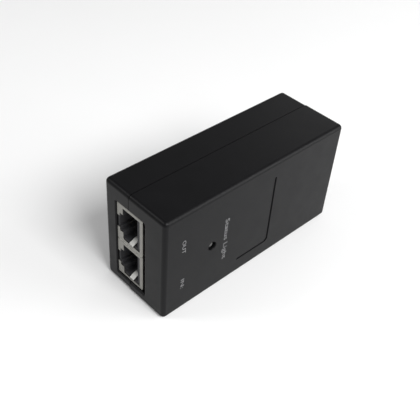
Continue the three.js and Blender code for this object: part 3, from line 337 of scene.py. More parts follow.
ALUMINIUM = Finish("plain_aluminium", (0.72, 0.73, 0.74), 0.36, 1.0, Pattern.ROLLED, 0.08 * MM,
                   0.003 * MM, along=Axis.X)
FERRITE = Finish("ground_ferrite", (0.028, 0.027, 0.026), 0.62, grain=0.07 * MM, depth=0.008 * MM)
TAPE = Finish("polyester_tape", (0.62, 0.42, 0.03), 0.22, pattern=Pattern.WOUND, grain=0.25 * MM,
              depth=0.012 * MM, along=Axis.X, coat=0.4)
FLOOR_WHITE = Finish("pale_floor", (0.88, 0.88, 0.88), 0.85, grain=2 * MM, depth=0.002 * MM,
                     mottle=0.004, unevenness=0.02, specular=0.2)


# ------------------------------------------------------------------ solid modelling


@dataclass(frozen=True)
class Box:
    """A box between two corners, in metres."""

    low: Vector
    high: Vector

    @classmethod
    def of(cls, *nodes: str) -> "Box":
        """The box round one or more CAD nodes.

        Args:
            nodes: names of the nodes.

        Returns:
            The box that holds them all.
        """
        boxes = [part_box(node) for node in nodes]
        return cls(
            Vector([min(low[i] for low, _ in boxes) for i in range(3)]),
            Vector([max(high[i] for _, high in boxes) for i in range(3)]),
        )

    @property
    def middle(self) -> Vector:
        """The box's centre."""
        return (self.low + self.high) / 2

    @property
    def size(self) -> Vector:
        """The box's sides."""
        return self.high - self.low


class Cut(Enum):
    """How one solid changes another."""

    AWAY = "DIFFERENCE"
    JOIN = "UNION"
    KEEP = "INTERSECT"


class Solid:
    """A closed mesh under construction, in the row frame."""

    def __init__(self, name: str, work: bmesh.types.BMesh) -> None:
        """Takes over a bmesh.

        Args:
            name: the object's name.
            work: the geometry, which is freed here.
        """
        bmesh.ops.recalc_face_normals(work, faces=work.faces)
        mesh = bpy.data.meshes.new(name)
        work.to_mesh(mesh)
        work.free()
        self.object = bpy.data.objects.new(name, mesh)
        bpy.context.scene.collection.objects.link(self.object)

    @classmethod
    def block(cls, low: Iterable[float], high: Iterable[float], radius: float = 0.0,
              segments: int = 6, name: str = "tool") -> "Solid":
        """A block, with its edges rounded if a radius is given.

        Args:
            low: its lowest corner.
            high: its highest corner.
            radius: the edges' radius.
            segments: steps round each edge.
            name: the object's name.

        Returns:
            The solid.
        """
        low, high = Vector(low), Vector(high)
        work = bmesh.new()
        bmesh.ops.create_cube(work, size=1.0)
        size, middle = high - low, (high + low) / 2
        for vertex in work.verts:
            vertex.co = Vector(vertex.co[i] * size[i] + middle[i] for i in range(3))
        if radius:
            bmesh.ops.bevel(work, geom=work.edges[:], offset=radius, segments=segments,
                            profile=0.5, affect="EDGES")
        return cls(name, work)

    @classmethod
    def loft(cls, rings: Sequence[Sequence[Vector]], name: str = "tool") -> "Solid":
        """A skin over rings of equal length, closed at both ends.

        Args:
            rings: the rings, in order.
            name: the object's name.

        Returns:
            The solid.
        """
        work = bmesh.new()
        loops = [[work.verts.new(point) for point in ring] for ring in rings]
        count = len(loops[0])
        for near, far in zip(loops, loops[1:]):
            for i in range(count):
                j = (i + 1) % count
                work.faces.new((near[i], near[j], far[j], far[i]))
        work.faces.new(loops[0][::-1])
        work.faces.new(loops[-1])
        return cls(name, work)

    @classmethod
    def turned(cls, axis: Axis, centre: Vector, profile: Outline, sides: int = 48,
               name: str = "tool") -> "Solid":
        """A turned solid about a row axis.

        Args:
            axis: the axis it is turned about.
            centre: a point on that axis; the profile's heights are added to it.
            profile: (radius, height) pairs from one end to the other.
            sides: steps round it.
            name: the object's name.

        Returns:
            The solid.
        """
        across = [i for i in range(3) if i != axis.value]
        rings = []
        for radius, height in profile:
            ring = []
            for step in range(sides):
                angle = 2 * math.pi * step / sides
                point = centre.copy()
                point[axis.value] += height
                point[across[0]] += max(radius, POLE_RADIUS) * math.cos(angle)
                point[across[1]] += max(radius, POLE_RADIUS) * math.sin(angle)
                ring.append(point)
            rings.append(ring)
        return cls.loft(rings, name)

    @classmethod
    def prism(cls, outline: Outline, axis: Axis, start: float, end: float, spread: float = 0.0,
              name: str = "tool") -> "Solid":
        """An outline pushed along an axis, widened a little towards its end.

        Args:
            outline: points on the two other axes, in X, Y, Z order.
            axis: the axis it is pushed along.
            start: where it starts on that axis.
            end: where it ends.
            spread: how far its sides lean out at the end.
            name: the object's name.

        Returns:
            The solid.
        """
        across = [i for i in range(3) if i != axis.value]
        points = [Vector(point) for point in outline]
        area = sum(a.x * b.y - b.x * a.y for a, b in zip(points, points[1:] + points[:1]))
        turn = 1 if area > 0 else -1
        rings = []
        for height, out in ((start, 0.0), (end, spread)):
            ring = []
            for i, point in enumerate(points):
                before, after = points[i - 1], points[(i + 1) % len(points)]
                first = (point - before).normalized()
                second = (after - point).normalized()
                lean = Vector((first.y + second.y, -first.x - second.x)) * turn
                reach = out / max(LEAST_LEAN, lean.length / 2) if lean.length else 0.0
                moved = point + (lean.normalized() * reach if lean.length else Vector((0, 0)))
                place = Vector((0.0, 0.0, 0.0))
                place[axis.value] = height
                place[across[0]], place[across[1]] = moved
                ring.append(place)
            rings.append(ring)
        return cls.loft(rings, name)

    @classmethod
    def copy_of(cls, node: str, name: str) -> "Solid":
        """A merged copy of a CAD node.

        Args:
            node: the CAD node.
            name: the copy's name.

        Returns:
            The solid, its flat faces rebuilt as single faces.
        """
        work = bmesh.new()
        work.from_mesh(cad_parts[node].data)
        bmesh.ops.remove_doubles(work, verts=work.verts, dist=SAME_POINT)
        bmesh.ops.dissolve_limit(work, angle_limit=math.radians(1.0), verts=work.verts,
                                 edges=work.edges)
        return cls(name, work)

    @classmethod
    def merged(cls, name: str, pieces: Sequence["Solid"]) -> "Solid":
        """Puts separate solids, which are used up, in one mesh.

        Args:
            name: the object's name.
            pieces: the solids.

        Returns:
            The solid that holds them all.
        """
        work = bmesh.new()
        for piece in pieces:
            work.from_mesh(piece.object.data)
            piece.discard()
        return cls(name, work)

    def discard(self) -> None:
        """Deletes the object and its mesh."""
        mesh = self.object.data
        bpy.data.objects.remove(self.object)
        bpy.data.meshes.remove(mesh)

    def settle(self) -> "Solid":
        """Applies all modifiers and drops them.

        Returns:
            This solid.
        """
        graph = bpy.context.evaluated_depsgraph_get()
        mesh = bpy.data.meshes.new_from_object(self.object.evaluated_get(graph))
        self.object.modifiers.clear()
        old, self.object.data = self.object.data, mesh
        mesh.name = self.object.name
        bpy.data.meshes.remove(old)
        return self

    def change(self, kind: Cut, *tools: "Solid") -> "Solid":
        """Cuts or joins other solids, which are used up.

        Args:
            kind: what the tools do.
            tools: the other solids.

        Returns:
            This solid.
        """
        for tool in tools:
            modifier = self.object.modifiers.new("shape", "BOOLEAN")
            modifier.operation = kind.value
            modifier.solver = "EXACT"
            modifier.object = tool.object
            self.settle()
            tool.discard()
        return self

    def soften(self, width: float, segments: int = 2, angle: float = 35.0) -> "Solid":
        """Rounds the edges sharper than an angle.

        Args:
            width: the rounding's width.
            segments: steps across it.
            angle: the least angle of an edge that is rounded, in degrees.

        Returns:
            This solid.
        """
        bevel = self.object.modifiers.new("soften", "BEVEL")
        bevel.width = width
        bevel.segments = segments
        bevel.limit_method = "ANGLE"
        bevel.angle_limit = math.radians(angle)
        bevel.use_clamp_overlap = True
        return self.settle()

    def shade(self, angle: float = 40.0) -> "Solid":
        """Shades it smooth up to an angle, flat faces kept flat.

        Args:
            angle: the sharpest angle that is still shaded smooth, in degrees.

        Returns:
            This solid.
        """
        work = bmesh.new()
        work.from_mesh(self.object.data)
        bmesh.ops.dissolve_degenerate(work, dist=POLE_RADIUS, edges=work.edges)
        for face in work.faces:
            face.smooth = True
        for edge in work.edges:
            bend = edge.calc_face_angle(0.0) if len(edge.link_faces) == 2 else math.pi
            edge.smooth = bend < math.radians(angle)
        work.to_mesh(self.object.data)
        work.free()
        weighted = self.object.modifiers.new("flat", "WEIGHTED_NORMAL")
        weighted.keep_sharp = True
        return self.settle()

    def place(self, finish: Finish, slot: str, *nodes: str, body: str = CASE,
              stands_for: bool = True) -> bpy.types.Object:
        """Dresses the piece and hands it to its body.

        Args:
            finish: its finish.
            slot: the record's material slot; not used.
            nodes: CAD nodes that it stands for.
            body: the body that it rides on.
            stands_for: whether it replaces those nodes.

        Returns:
            The finished object.
        """
        self.object.data.materials.clear()
        self.object.data.materials.append(finish.material())
        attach(self.object, body)
        if stands_for and nodes:
            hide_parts(*nodes)
        LOG.info("%s: %d faces on %s", self.object.name, len(self.object.data.polygons), body)
        return self.object


def rounded_rectangle(low: Vector, high: Vector, radius: float, out: float,
                      steps: int = 5) -> list[tuple[float, float]]:
    """An outline with round corners, grown by a margin.

    Args:
        low: lowest corner on the two axes.
        high: highest corner.
        radius: the corners' radius before it is grown.
        out: the margin.
        steps: points round each corner.

    Returns:
        The outline's points.
    """
    reach = max(radius + out, SAME_POINT)
    corners = (
        (high[0] - radius, high[1] - radius, 0),
        (low[0] + radius, high[1] - radius, 1),
        (low[0] + radius, low[1] + radius, 2),
        (high[0] - radius, low[1] + radius, 3),
    )
    points = []
    for u, v, quarter in corners:
        for step in range(steps + 1):
            angle = (quarter + step / steps) * math.pi / 2
            points.append((u + reach * math.cos(angle), v + reach * math.sin(angle)))
    return points


class NodeTree:
    """A geometry node tree built step by step, with named inputs."""

    def __init__(self, name: str) -> None:
        """Starts an empty tree that takes and gives geometry.

        Args:
            name: the tree's name.
        """
        self.tree = bpy.data.node_groups.new(name, "GeometryNodeTree")
        self.tree.interface.new_socket("Geometry", in_out="INPUT",
                                       socket_type="NodeSocketGeometry")
        self.tree.interface.new_socket("Geometry", in_out="OUTPUT",
                                       socket_type="NodeSocketGeometry")
        self.start = self.tree.nodes.new("NodeGroupInput")
        self.end = self.tree.nodes.new("NodeGroupOutput")
        self.values: dict[str, object] = {}

    def size(self, name: str, value: float | int | Vector,
             kind: str = "NodeSocketFloat") -> bpy.types.NodeSocket:
        """Adds a named input.

        Args:
            name: the input's name.
            value: what this piece sets it to.
            kind: the socket's type.

        Returns:
            The input's socket inside the tree.
        """
        item = self.tree.interface.new_socket(name, in_out="INPUT", socket_type=kind)
        self.values[item.identifier] = value
        return self.start.outputs[name]

    def add(self, kind: str, settings: dict[str, object] | None = None,
            **sockets: object) -> bpy.types.Node:
        """Adds a node and fills or links its inputs.

        Args:
            kind: the node's type.
            settings: properties of the node itself.
            sockets: values or sockets for its inputs, spaces written as underscores.

        Returns:
            The node.
        """
        node = self.tree.nodes.new(kind)
        for key, value in (settings or {}).items():
            setattr(node, key, value)
        for key, value in sockets.items():
            entry = node.inputs[key.replace("_", " ")]
            if isinstance(value, bpy.types.NodeSocket):
                self.tree.links.new(value, entry)
            else:
                entry.default_value = value
        return node

    def grow(self, name: str, seeds: Sequence[Vector], result: bpy.types.NodeSocket,
             finish: Finish, edges: Sequence[tuple[int, int]] = ()) -> Solid:
        """Ends the tree, runs it on a seed mesh and keeps the plain mesh.

        Args:
            name: the object's name.
            seeds: points of the seed mesh.
            result: the tree's last geometry.
            finish: the finish that the tree sets.
            edges: edges of the seed mesh.

        Returns:
            The solid that the tree grew.
        """
        paint = self.size("Finish", finish.material(), "NodeSocketMaterial")
        whole = self.add("GeometryNodeRealizeInstances", Geometry=result)
        dressed = self.add("GeometryNodeSetMaterial", Geometry=whole.outputs[0], Material=paint)
        self.tree.links.new(dressed.outputs[0], self.end.inputs[0])
        work = bmesh.new()
        points = [work.verts.new(seed) for seed in seeds]
        for first, second in edges:
            work.edges.new((points[first], points[second]))
        solid = Solid(name, work)
        modifier = solid.object.modifiers.new("grow", "NODES")
        modifier.node_group = self.tree
        for identifier, value in self.values.items():
            modifier[identifier] = value
        return solid.settle()


# ------------------------------------------------------------------ the case


@dataclass
class CaseShells:
    """The two moulded shells, with their mouths, groove, light hole and screw seats.

    Attributes:
        cover: box of the shell with the printed face.
        base: box of the shell with the rating label.
        wall: wall thickness.
        edge: radius of the outer edges.
        edge_steps: steps round an outer edge.
        inner_edge: radius of the cover's inner edges.
        base_height: height of the seam's middle above the back.
        seam_gap: gap between the two rims.
        print_room: how far the face is set back, which the printing fills.
        rim: rounding of the shells' cut edges.
        mouth_gap: gap round the jacks and the inlet.
        jack_room: more room beside the jacks, towards the face.
        mouth_round: radius of the rounded rim of each mouth.
        mouth_corner: radius of a mouth's corners.
        mouth_steps: steps round the rim.
        inlet_rim: how far the inlet's hidden rim reaches past its mouth.
        tongue: height and clearance of the lap joint.
        groove_width: width of the groove at its floor.
        groove_depth: its depth.
        groove_places: the groove's cross leg on Y, its two ends on Z and its free end on Y.
        groove_corner: its clipped corner.
        groove_lean: how much wider it is at the face, on either side.
        light_hole: radius of the light's hole.
        light_rim: width and depth of the hole's chamfer.
        board_gap: gap between the board and the posts.
        post: radius of a screw post.
        post_root: width and height of the flare where a post meets the wall.
        pilot: radius of a screw's hole.
        screw_reach: how deep a pilot hole goes past the screw.
        counterbore: radius and depth of a screw head's seat.
        boss_wall: thickness round a screw head's seat.
        label_gap: gap round the rating label.
        label_depth: depth of the label's pocket.
    """

    cover: Box = field(default_factory=lambda: Box.of("top_cover"))
    base: Box = field(default_factory=lambda: Box.of("base_shell"))
    wall: float = 2.0 * MM
    edge: float = 1.6 * MM
    edge_steps: int = 8
    inner_edge: float = 0.4 * MM
    base_height: float = 12.4 * MM
    seam_gap: float = 0.3 * MM
    print_room: float = 0.015 * MM
    rim: float = 0.18 * MM
    mouth_gap: float = 0.25 * MM
    jack_room: float = 1.3 * MM
    mouth_round: float = 0.85 * MM
    mouth_corner: float = 0.35 * MM
    mouth_steps: int = 7
    inlet_rim: float = 1.2 * MM
    tongue: tuple[float, float] = (1.3 * MM, 0.1 * MM)
    groove_width: float = 0.8 * MM
    groove_depth: float = 0.4 * MM
    groove_places: tuple[float, float, float, float] = (7.2 * MM, 36.3 * MM, 6.9 * MM, -8.2 * MM)
    groove_corner: float = 1.1 * MM
    groove_lean: float = 0.12 * MM
    light_hole: float = 1.65 * MM
    light_rim: tuple[float, float] = (0.2 * MM, 0.22 * MM)
    board_gap: float = 0.05 * MM
    post: float = 2.8 * MM
    post_root: tuple[float, float] = (0.5 * MM, 0.6 * MM)
    pilot: float = 1.6 * MM
    screw_reach: float = 1.0 * MM
    counterbore: tuple[float, float] = (2.85 * MM, 2.1 * MM)
    boss_wall: float = 1.2 * MM
    label_gap: float = 0.3 * MM
    label_depth: float = 0.25 * MM

    @property
    def whole(self) -> Box:
        """The box of both shells together."""
        return Box(Vector((self.base.low.x, self.cover.low.y, self.cover.low.z)),
                   self.cover.high.copy())

    @property
    def seam(self) -> float:
        """The seam's middle on X."""
        return self.base.low.x + self.base_height

    def layer(self, inset: float, low: float, high: float, radius: float = 0.0) -> Solid:
        """A block across the whole case.

        Args:
            inset: how far its sides stand in from the case's.
            low: where it starts on X.
            high: where it ends on X.
            radius: its edges' radius.

        Returns:
            The block.
        """
        case = self.whole
        return Solid.block((low, case.low.y + inset, case.low.z + inset),
                           (high, case.high.y - inset, case.high.z - inset), radius)

    def mouth(self, inside: Box, end: float, inward: int) -> Solid:
        """The cutter of a mouth in an end wall, flaring out to its rounded rim.

        Args:
            inside: what stands in the mouth.
            end: the end face on Y.
            inward: 1 if the case lies towards +Y from it, or -1.

        Returns:
            The cutter.
        """
        low = Vector((inside.low.x - self.mouth_gap, inside.low.z - self.mouth_gap))
        high = Vector((inside.high.x + self.mouth_gap, inside.high.z + self.mouth_gap))
        bend = self.mouth_round
        depths = [bend * i / self.mouth_steps for i in range(self.mouth_steps + 1)]
        flare = [(depth, bend - math.sqrt(bend ** 2 - (bend - depth) ** 2)) for depth in depths]
        stations = [(-self.wall, flare[0][1]), *flare, (self.wall * 1.5, 0.0)]
        rings = []
        for depth, out in stations:
            outline = rounded_rectangle(low, high, self.mouth_corner, out)
            rings.append([Vector((x, end + inward * depth, z)) for x, z in outline])
        return Solid.loft(rings)

    def mouths(self) -> list[Solid]:
        """Shapes the mouths of the jacks and the inlet.

        Returns:
            Their two cutters.
        """
        jacks = Box.of("poe_jack_shield", "lan_jack_shield")
        block = Box(Vector((Box.of("poe_jack_housing").low.x, jacks.low.y, jacks.low.z)),
                    jacks.high + Vector((self.jack_room, 0, 0)))
        inlet = Box.of("inlet_housing")
        hidden = Vector((self.inlet_rim, 0, self.inlet_rim))
        flange = Box(inlet.low + hidden, inlet.high - hidden)
        return [self.mouth(block, self.whole.low.y, 1), self.mouth(flange, self.whole.high.y, -1)]

    def groove(self) -> Solid:
        """Shapes the L-shaped groove, its sides leaning out a little.

        Returns:
            Its cutter.
        """
        cross, top, low, end = self.groove_places
        half, corner = self.groove_width / 2, self.groove_corner
        outline = [
            (cross - half, top), (cross - half, low + half + corner),
            (cross - half - corner, low + half), (end, low + half), (end, low - half),
            (cross + half - corner, low - half), (cross + half, low - half + corner),
            (cross + half, top),
        ]
        face = self.whole.high.x - self.print_room
        return Solid.prism(outline, Axis.X, face - self.groove_depth, face + self.groove_depth,
                           spread=self.groove_lean)

    def screw_lines(self) -> list[tuple[Box, Vector]]:
        """Each screw's box with a point on its axis."""
        boxes = [Box.of(screw) for screw in SCREWS]
        return [(box, Vector((0.0, box.middle.y, box.middle.z))) for box in boxes]

    def build_cover(self) -> bpy.types.Object:
        """Builds the shell with the printed face.

        Returns:
            The finished shell.
        """
        case = self.whole
        roof = case.high.x - self.wall
        shell = Solid.block(case.low, case.high - Vector((self.print_room, 0, 0)), self.edge,
                            self.edge_steps, "printed_cover")
        rim = self.seam + self.seam_gap / 2
        shell.change(Cut.KEEP, self.layer(-self.wall, rim, case.high.x + self.wall))
        shell.change(Cut.AWAY, self.layer(self.wall, rim - self.wall, roof, self.inner_edge))
        height, gap = self.tongue
        shell.change(Cut.AWAY, self.layer((self.wall - gap) / 2, rim - self.wall,
                                          rim + height + gap))
        across = Box.of("indicator_light").middle.y
        upright = Box.of("light_lead_1", "light_lead_2").middle.z
        radius = self.light_hole
        width, depth = self.light_rim
        face = case.high.x - self.print_room
        shell.change(Cut.AWAY, *self.mouths(), self.groove(), Solid.turned(
            Axis.X, Vector((0.0, across, upright)),
            [(radius, roof - self.wall), (radius, face - depth), (radius + width, face),
             (radius + width, face + self.wall)], sides=56))
        shell.soften(self.rim)
        foot = Box.of("main_board").high.x + self.board_gap
        flare, rise = self.post_root
        for screw, line in self.screw_lines():
            shell.change(Cut.JOIN, Solid.turned(Axis.X, line, [
                (self.post, foot), (self.post, roof - rise),
                (self.post + flare, roof + self.wall / 3)], sides=36))
            shell.change(Cut.AWAY, Solid.turned(Axis.X, line, [
                (self.pilot, foot - self.wall), (self.pilot, screw.high.x + self.screw_reach)],
                sides=28))
        return shell.shade().place(CASE_BLACK, "case_plastic", "top_cover")

    def build_base(self) -> bpy.types.Object:
        """Builds the shell with the screw seats and the label's pocket.

        Returns:
            The finished shell.
        """
        case, base = self.whole, self.base
        floor = case.low.x + self.wall
        rim = self.seam - self.seam_gap / 2
        shell = Solid.block((case.low.x, base.low.y, base.low.z),
                            (case.high.x, base.high.y, base.high.z), self.edge,
                            self.edge_steps, "back_shell")
        shell.change(Cut.KEEP, self.layer(-self.wall, case.low.x - self.wall, rim))
        gap = self.tongue[1]
        shell.change(Cut.JOIN, self.layer((self.wall + gap) / 2, rim - self.wall, base.high.x))
        shell.change(Cut.AWAY, self.layer(self.wall, floor, case.high.x))
        label = Box.of("rating_label")
        pocket = Solid.block(
            (case.low.x - self.wall, label.low.y - self.label_gap, label.low.z - self.label_gap),
            (case.low.x + self.label_depth, label.high.y + self.label_gap,
             label.high.z + self.label_gap))
        shell.change(Cut.AWAY, *self.mouths(), pocket)
        top = Box.of("main_board").low.x - self.board_gap
        foot = case.low.x + self.wall / 2
        bore, depth = self.counterbore
        outside = bore + self.boss_wall
        first, *others = [Solid.turned(Axis.X, line, [(outside, foot), (outside, top)])
                          for _, line in self.screw_lines()]
        inner = self.layer(self.wall / 2, foot, top)
        shell.change(Cut.JOIN, first.change(Cut.JOIN, *others).change(Cut.KEEP, inner))
        for _, line in self.screw_lines():
            seat = case.low.x + depth
            shell.change(Cut.AWAY, Solid.turned(Axis.X, line, [
                (bore, case.low.x - self.wall), (bore, seat), (self.pilot, seat),
                (self.pilot, top + self.wall)]))
        shell.soften(self.rim)
        return shell.shade().place(CASE_BLACK, "case_plastic", "base_shell")

    def build(self) -> None:
        """Builds both shells."""
        self.build_cover()
        self.build_base()


@dataclass
class Lettering:
    """Generic printed words on the face, read from the top of the case downwards.

    Attributes:
        words: text, its middle on Y, its two ends on Z, and its capitals' height.
        ink: thickness of the ink.
        sink: how far the ink is set in from the case's box, as a share of its thickness.
        curve_steps: steps along each curve of a letter.
        weld: distance of letter points that are one, as a share of the letters' size.
    """

    words: Sequence[tuple[str, float, float, float, float]] = (
        ("Status Light", -15.1 * MM, 30.2 * MM, 11.9 * MM, 1.9 * MM),
        ("OUT", -34.3 * MM, 31.9 * MM, 26.4 * MM, 1.5 * MM),
        ("IN:", -34.3 * MM, 14.4 * MM, 10.2 * MM, 1.5 * MM),
    )
    ink: float = 0.012 * MM
    sink: float = 0.1
    curve_steps: int = 3
    weld: float = 1e-5

    def word(self, text: str, line: float, start: float, end: float, height: float,
             face: float) -> Solid:
        """Makes one word as a thin mesh.

        Args:
            text: what it says.
            line: the middle of its capitals on Y.
            start: where it starts on Z.
            end: where it ends on Z.
            height: its capitals' height.
            face: the outer face of the ink on X.

        Returns:
            The word's mesh.
        """
        curve = bpy.data.curves.new("word", "FONT")
        curve.body = text
        curve.extrude = 0.5
        curve.resolution_u = self.curve_steps
        shaped = bpy.data.objects.new("word", curve)
        bpy.context.scene.collection.objects.link(shaped)
        graph = bpy.context.evaluated_depsgraph_get()
        mesh = bpy.data.meshes.new_from_object(shaped.evaluated_get(graph))
        bpy.data.objects.remove(shaped)
        work = bmesh.new()
        work.from_mesh(mesh)
        bpy.data.meshes.remove(mesh)
        bmesh.ops.remove_doubles(work, verts=work.verts, dist=self.weld)
        low = [min(v.co[i] for v in work.verts) for i in range(2)]
        high = [max(v.co[i] for v in work.verts) for i in range(2)]
        along = (start - end) / (high[0] - low[0])
        up = height / (high[1] - max(low[1], 0.0))
        for vertex in work.verts:
            u, v, w = vertex.co
            vertex.co = Vector((
                face - self.ink * (0.5 - w),
                line - height / 2 + v * up,
                start - (u - low[0]) * along,
            ))
        return Solid("word", work)

    def build(self) -> None:
        """Prints all the words as one piece."""
        face = Box.of("top_cover").high.x
        words = [self.word(*entry, face - self.ink * self.sink) for entry in self.words]
        Solid.merged("printed_words", words).place(PRINT_INK, "label_film")


# ------------------------------------------------------------------ network jacks


@dataclass
class Jack:
    """One shielded network jack with its eight sprung contacts.

    Attributes:
        port: prefix of its CAD nodes.
        height: from its underside to its top, towards the printed face.
        sheet: thickness of the shield.
        fold: outer radius of the shield's folds.
        inner_fold: their inner radius.
        deburr: rounding of cut edges.
        top_strip: width of the frame on the printed side.
        side_strip: width of the frame at the two sides.
        corner_height: height of the stepped corners on the latch side.
        latch_lip: height of the outermost step.
        latch_widths: width of the latch notch at its lip and at its step.
        finger: width, length, inward bend and distance from the underside of a finger.
        mouth_corner: radius of the mouth's corners on the printed side.
        finger_peak: how far back a finger's bend is, as a share of its length.
        finger_root: how far a finger starts behind the shield's front.
        finger_taper: how much it narrows on each side, and from which share of its length.
        finger_steps: steps along a finger.
        tab: width and distance from the front of a board tab.
        spare: how far the uncut sheet reaches past the open underside.
        wire: radius of a contact wire.
        wire_bend: radius of its knee.
        wire_steps: steps round its knee, and round the wire.
        wire_length: its length along the jack.
        wire_knee: where its knee is, as a share of that length.
        wire_tip: how far its tip stands off the knee's level, and off the end of its box.
        pitch: distance between contacts.
        count: number of contacts.
    """

    port: str
    height: float = 12.75 * MM
    sheet: float = 0.3 * MM
    fold: float = 0.45 * MM
    inner_fold: float = 0.25 * MM
    deburr: float = 0.05 * MM
    top_strip: float = 1.35 * MM
    side_strip: float = 1.25 * MM
    corner_height: float = 2.9 * MM
    latch_lip: float = 1.2 * MM
    latch_widths: tuple[float, float] = (5.0 * MM, 7.7 * MM)
    finger: tuple[float, float, float, float] = (2.1 * MM, 5.6 * MM, 1.45 * MM, 5.75 * MM)
    mouth_corner: float = 0.25 * MM
    finger_peak: float = 0.55
    finger_root: float = 0.06 * MM
    finger_taper: tuple[float, float] = (0.3 * MM, 0.8)
    finger_steps: int = 14
    tab: tuple[float, float] = (1.6 * MM, 9.0 * MM)
    spare: float = 2.0 * MM
    wire: float = 0.16 * MM
    wire_bend: float = 2.0 * MM
    wire_steps: tuple[int, int] = (5, 10)
    wire_length: float = 11.6 * MM
    wire_knee: float = 0.82
    wire_tip: tuple[float, float] = (0.43 * MM, 0.02 * MM)
    pitch: float = 1.02 * MM
    count: int = 8

    def __post_init__(self) -> None:
        """Reads where the jack stands."""
        self.box = Box.of(f"{self.port}_jack_shield")
        self.under = self.box.high.x - self.height
        self.front = self.box.low.y
        self.middle = self.box.middle.z

    def finger_strip(self, side: int, name: str) -> Solid:
        """A grounding finger folded in from one side of the mouth.

        Args:
            side: 1 for the upper side of the jack, -1 for the lower.
            name: the object's name.

        Returns:
            The strip, rooted in the front of the shield.
        """
        width, length, bend, floor = self.finger
        root = (self.box.size.z / 2) - self.side_strip
        narrowing, narrows_from = self.finger_taper
        rings = []
        for i in range(self.finger_steps + 1):
            share = i / self.finger_steps
            y = self.front + self.finger_root + share * length
            rise = min(share / self.finger_peak, 1.0)
            fall = max(share - self.finger_peak, 0.0) / (1.0 - self.finger_peak)
            inward = (bend * (rise + math.sin(math.pi / 2 * rise)) / 2
                      * math.cos(math.pi / 2 * fall))
            taper = narrowing * max(0.0, share - narrows_from) / (1.0 - narrows_from)
            near = self.middle + side * (root - inward)
            far = self.middle + side * (root - inward + self.sheet)
            low, high = self.under + floor + taper, self.under + floor + width - taper
            rings.append([Vector((low, y, near)), Vector((high, y, near)),
                          Vector((high, y, far)), Vector((low, y, far))])
        return Solid.loft(rings, name)

    def mouth_cutters(self) -> list[Solid]:
        """Shapes the stepped mouth in the shield's front.

        Returns:
            A cutter for each of its three steps.
        """
        half = self.box.size.z / 2
        top = self.box.high.x - self.top_strip
        steps = (
            (self.under + self.corner_height, top, half - self.side_strip,
             self.mouth_corner),
            (self.under + self.latch_lip, self.under + self.corner_height + self.sheet,
             self.latch_widths[1] / 2, 0.0),
            (self.under - self.sheet, self.under + self.corner_height, self.latch_widths[0] / 2,
             0.0),
        )
        cutters = []
        for low, high, reach, radius in steps:
            outline = rounded_rectangle(
                Vector((low, self.middle - reach)), Vector((high, self.middle + reach)),
                radius, 0.0) if radius else [
                (low, self.middle - reach), (high, self.middle - reach),
                (high, self.middle + reach), (low, self.middle + reach)]
            cutters.append(Solid.prism(outline, Axis.Y, self.front - self.sheet,
                                       self.front + self.sheet * 2))
        return cutters

    def build_shield(self) -> None:
        """Builds the folded sheet: front frame, sides, roof, back, fingers, board tabs."""
        low, high = self.box.low, self.box.high
        sheet = self.sheet
        spare = self.spare
        shield = Solid.block((self.under - spare, low.y, low.z), high, self.fold, 4,
                             name=f"{self.port}_shield")
        shield.change(Cut.AWAY, Solid.block(
            (self.under - spare * 1.5, low.y + sheet, low.z + sheet),
            (high.x - sheet, high.y - sheet, high.z - sheet), self.inner_fold, 3))
        shield.change(Cut.AWAY, Solid.block(
            (self.under - spare * 2, low.y - sheet, low.z - sheet),
            (self.under, high.y + sheet, high.z + sheet)))
        shield.change(Cut.AWAY, *self.mouth_cutters())
        width, place = self.tab
        for outside, inside in ((low.z, low.z + sheet), (high.z - sheet, high.z)):
            shield.change(Cut.JOIN, Solid.block(
                (low.x, self.front + place - width / 2, outside),
                (self.under + sheet, self.front + place + width / 2, inside)))
        shield.soften(self.deburr)
        shield.shade().place(NICKEL, "jack_shield", f"{self.port}_jack_shield")
        for side, name in ((1, "upper"), (-1, "lower")):
            finger = self.finger_strip(side, f"{self.port}_{name}_finger")
            # The fingers get a lighter copy of the shield's metal: painted highlight for the light
            # they face.
            finger.soften(self.deburr).shade(angle=30.0).place(FINGER_METAL_PAINTED_HIGHLIGHT, "jack_shield")

    def build_body(self) -> None:
        """Builds the plastic body and the contact carrier from their CAD shapes."""
        for part_name, node in (("plug_socket", "jack_housing"), ("carrier", "contact_carrier")):
            name = f"{self.port}_{node}"
            body = Solid.copy_of(name, f"{self.port}_{part_name}")
            body.soften(self.deburr, segments=1).shade().place(JACK_BLACK, "jack_plastic", name)

    def build_contacts(self) -> None:
        """Grows the eight contact wires along one spine, side by side."""
        first = Box.of(f"{self.port}_contact_1")
        nodes = [f"{self.port}_contact_{i + 1}" for i in range(self.count)]
        wire = self.wire
        root = Vector((first.high.x - wire, first.low.y + wire, first.middle.z))
        knee = Vector((first.low.x + wire, root.y + self.wire_length * self.wire_knee, root.z))
        rise, short = self.wire_tip
        tip = Vector((first.low.x + rise + wire, first.high.y - short, root.z))
        knee_steps, round_steps = self.wire_steps
        tree = NodeTree(f"{self.port}_contact_row")
        radius = tree.size("Wire radius", wire)
        bend = tree.size("Bend radius", self.wire_bend)
        count = tree.size("Contacts", self.count, "NodeSocketInt")
        step = tree.size("Pitch", Vector((0.0, 0.0, self.pitch)), "NodeSocketVector")
        spine = tree.add("GeometryNodeMeshToCurve", Mesh=tree.start.outputs[0])
        smooth = tree.add("GeometryNodeFilletCurve", {"mode": "POLY"}, Curve=spine.outputs[0],
                          Radius=bend, Count=knee_steps)
        ring = tree.add("GeometryNodeCurvePrimitiveCircle", Resolution=round_steps,
                        Radius=radius)
        swept = tree.add("GeometryNodeCurveToMesh", Curve=smooth.outputs[0],
                         Profile_Curve=ring.outputs["Curve"], Fill_Caps=True)
        row = tree.add("GeometryNodeMeshLine", {"mode": "OFFSET"}, Count=count, Offset=step)
        wires = tree.add("GeometryNodeInstanceOnPoints", Points=row.outputs[0],
                         Instance=swept.outputs[0])
        grown = tree.grow(f"{self.port}_contact_wires", (root, knee, tip), wires.outputs[0], GOLD,
                          edges=((0, 1), (1, 2)))
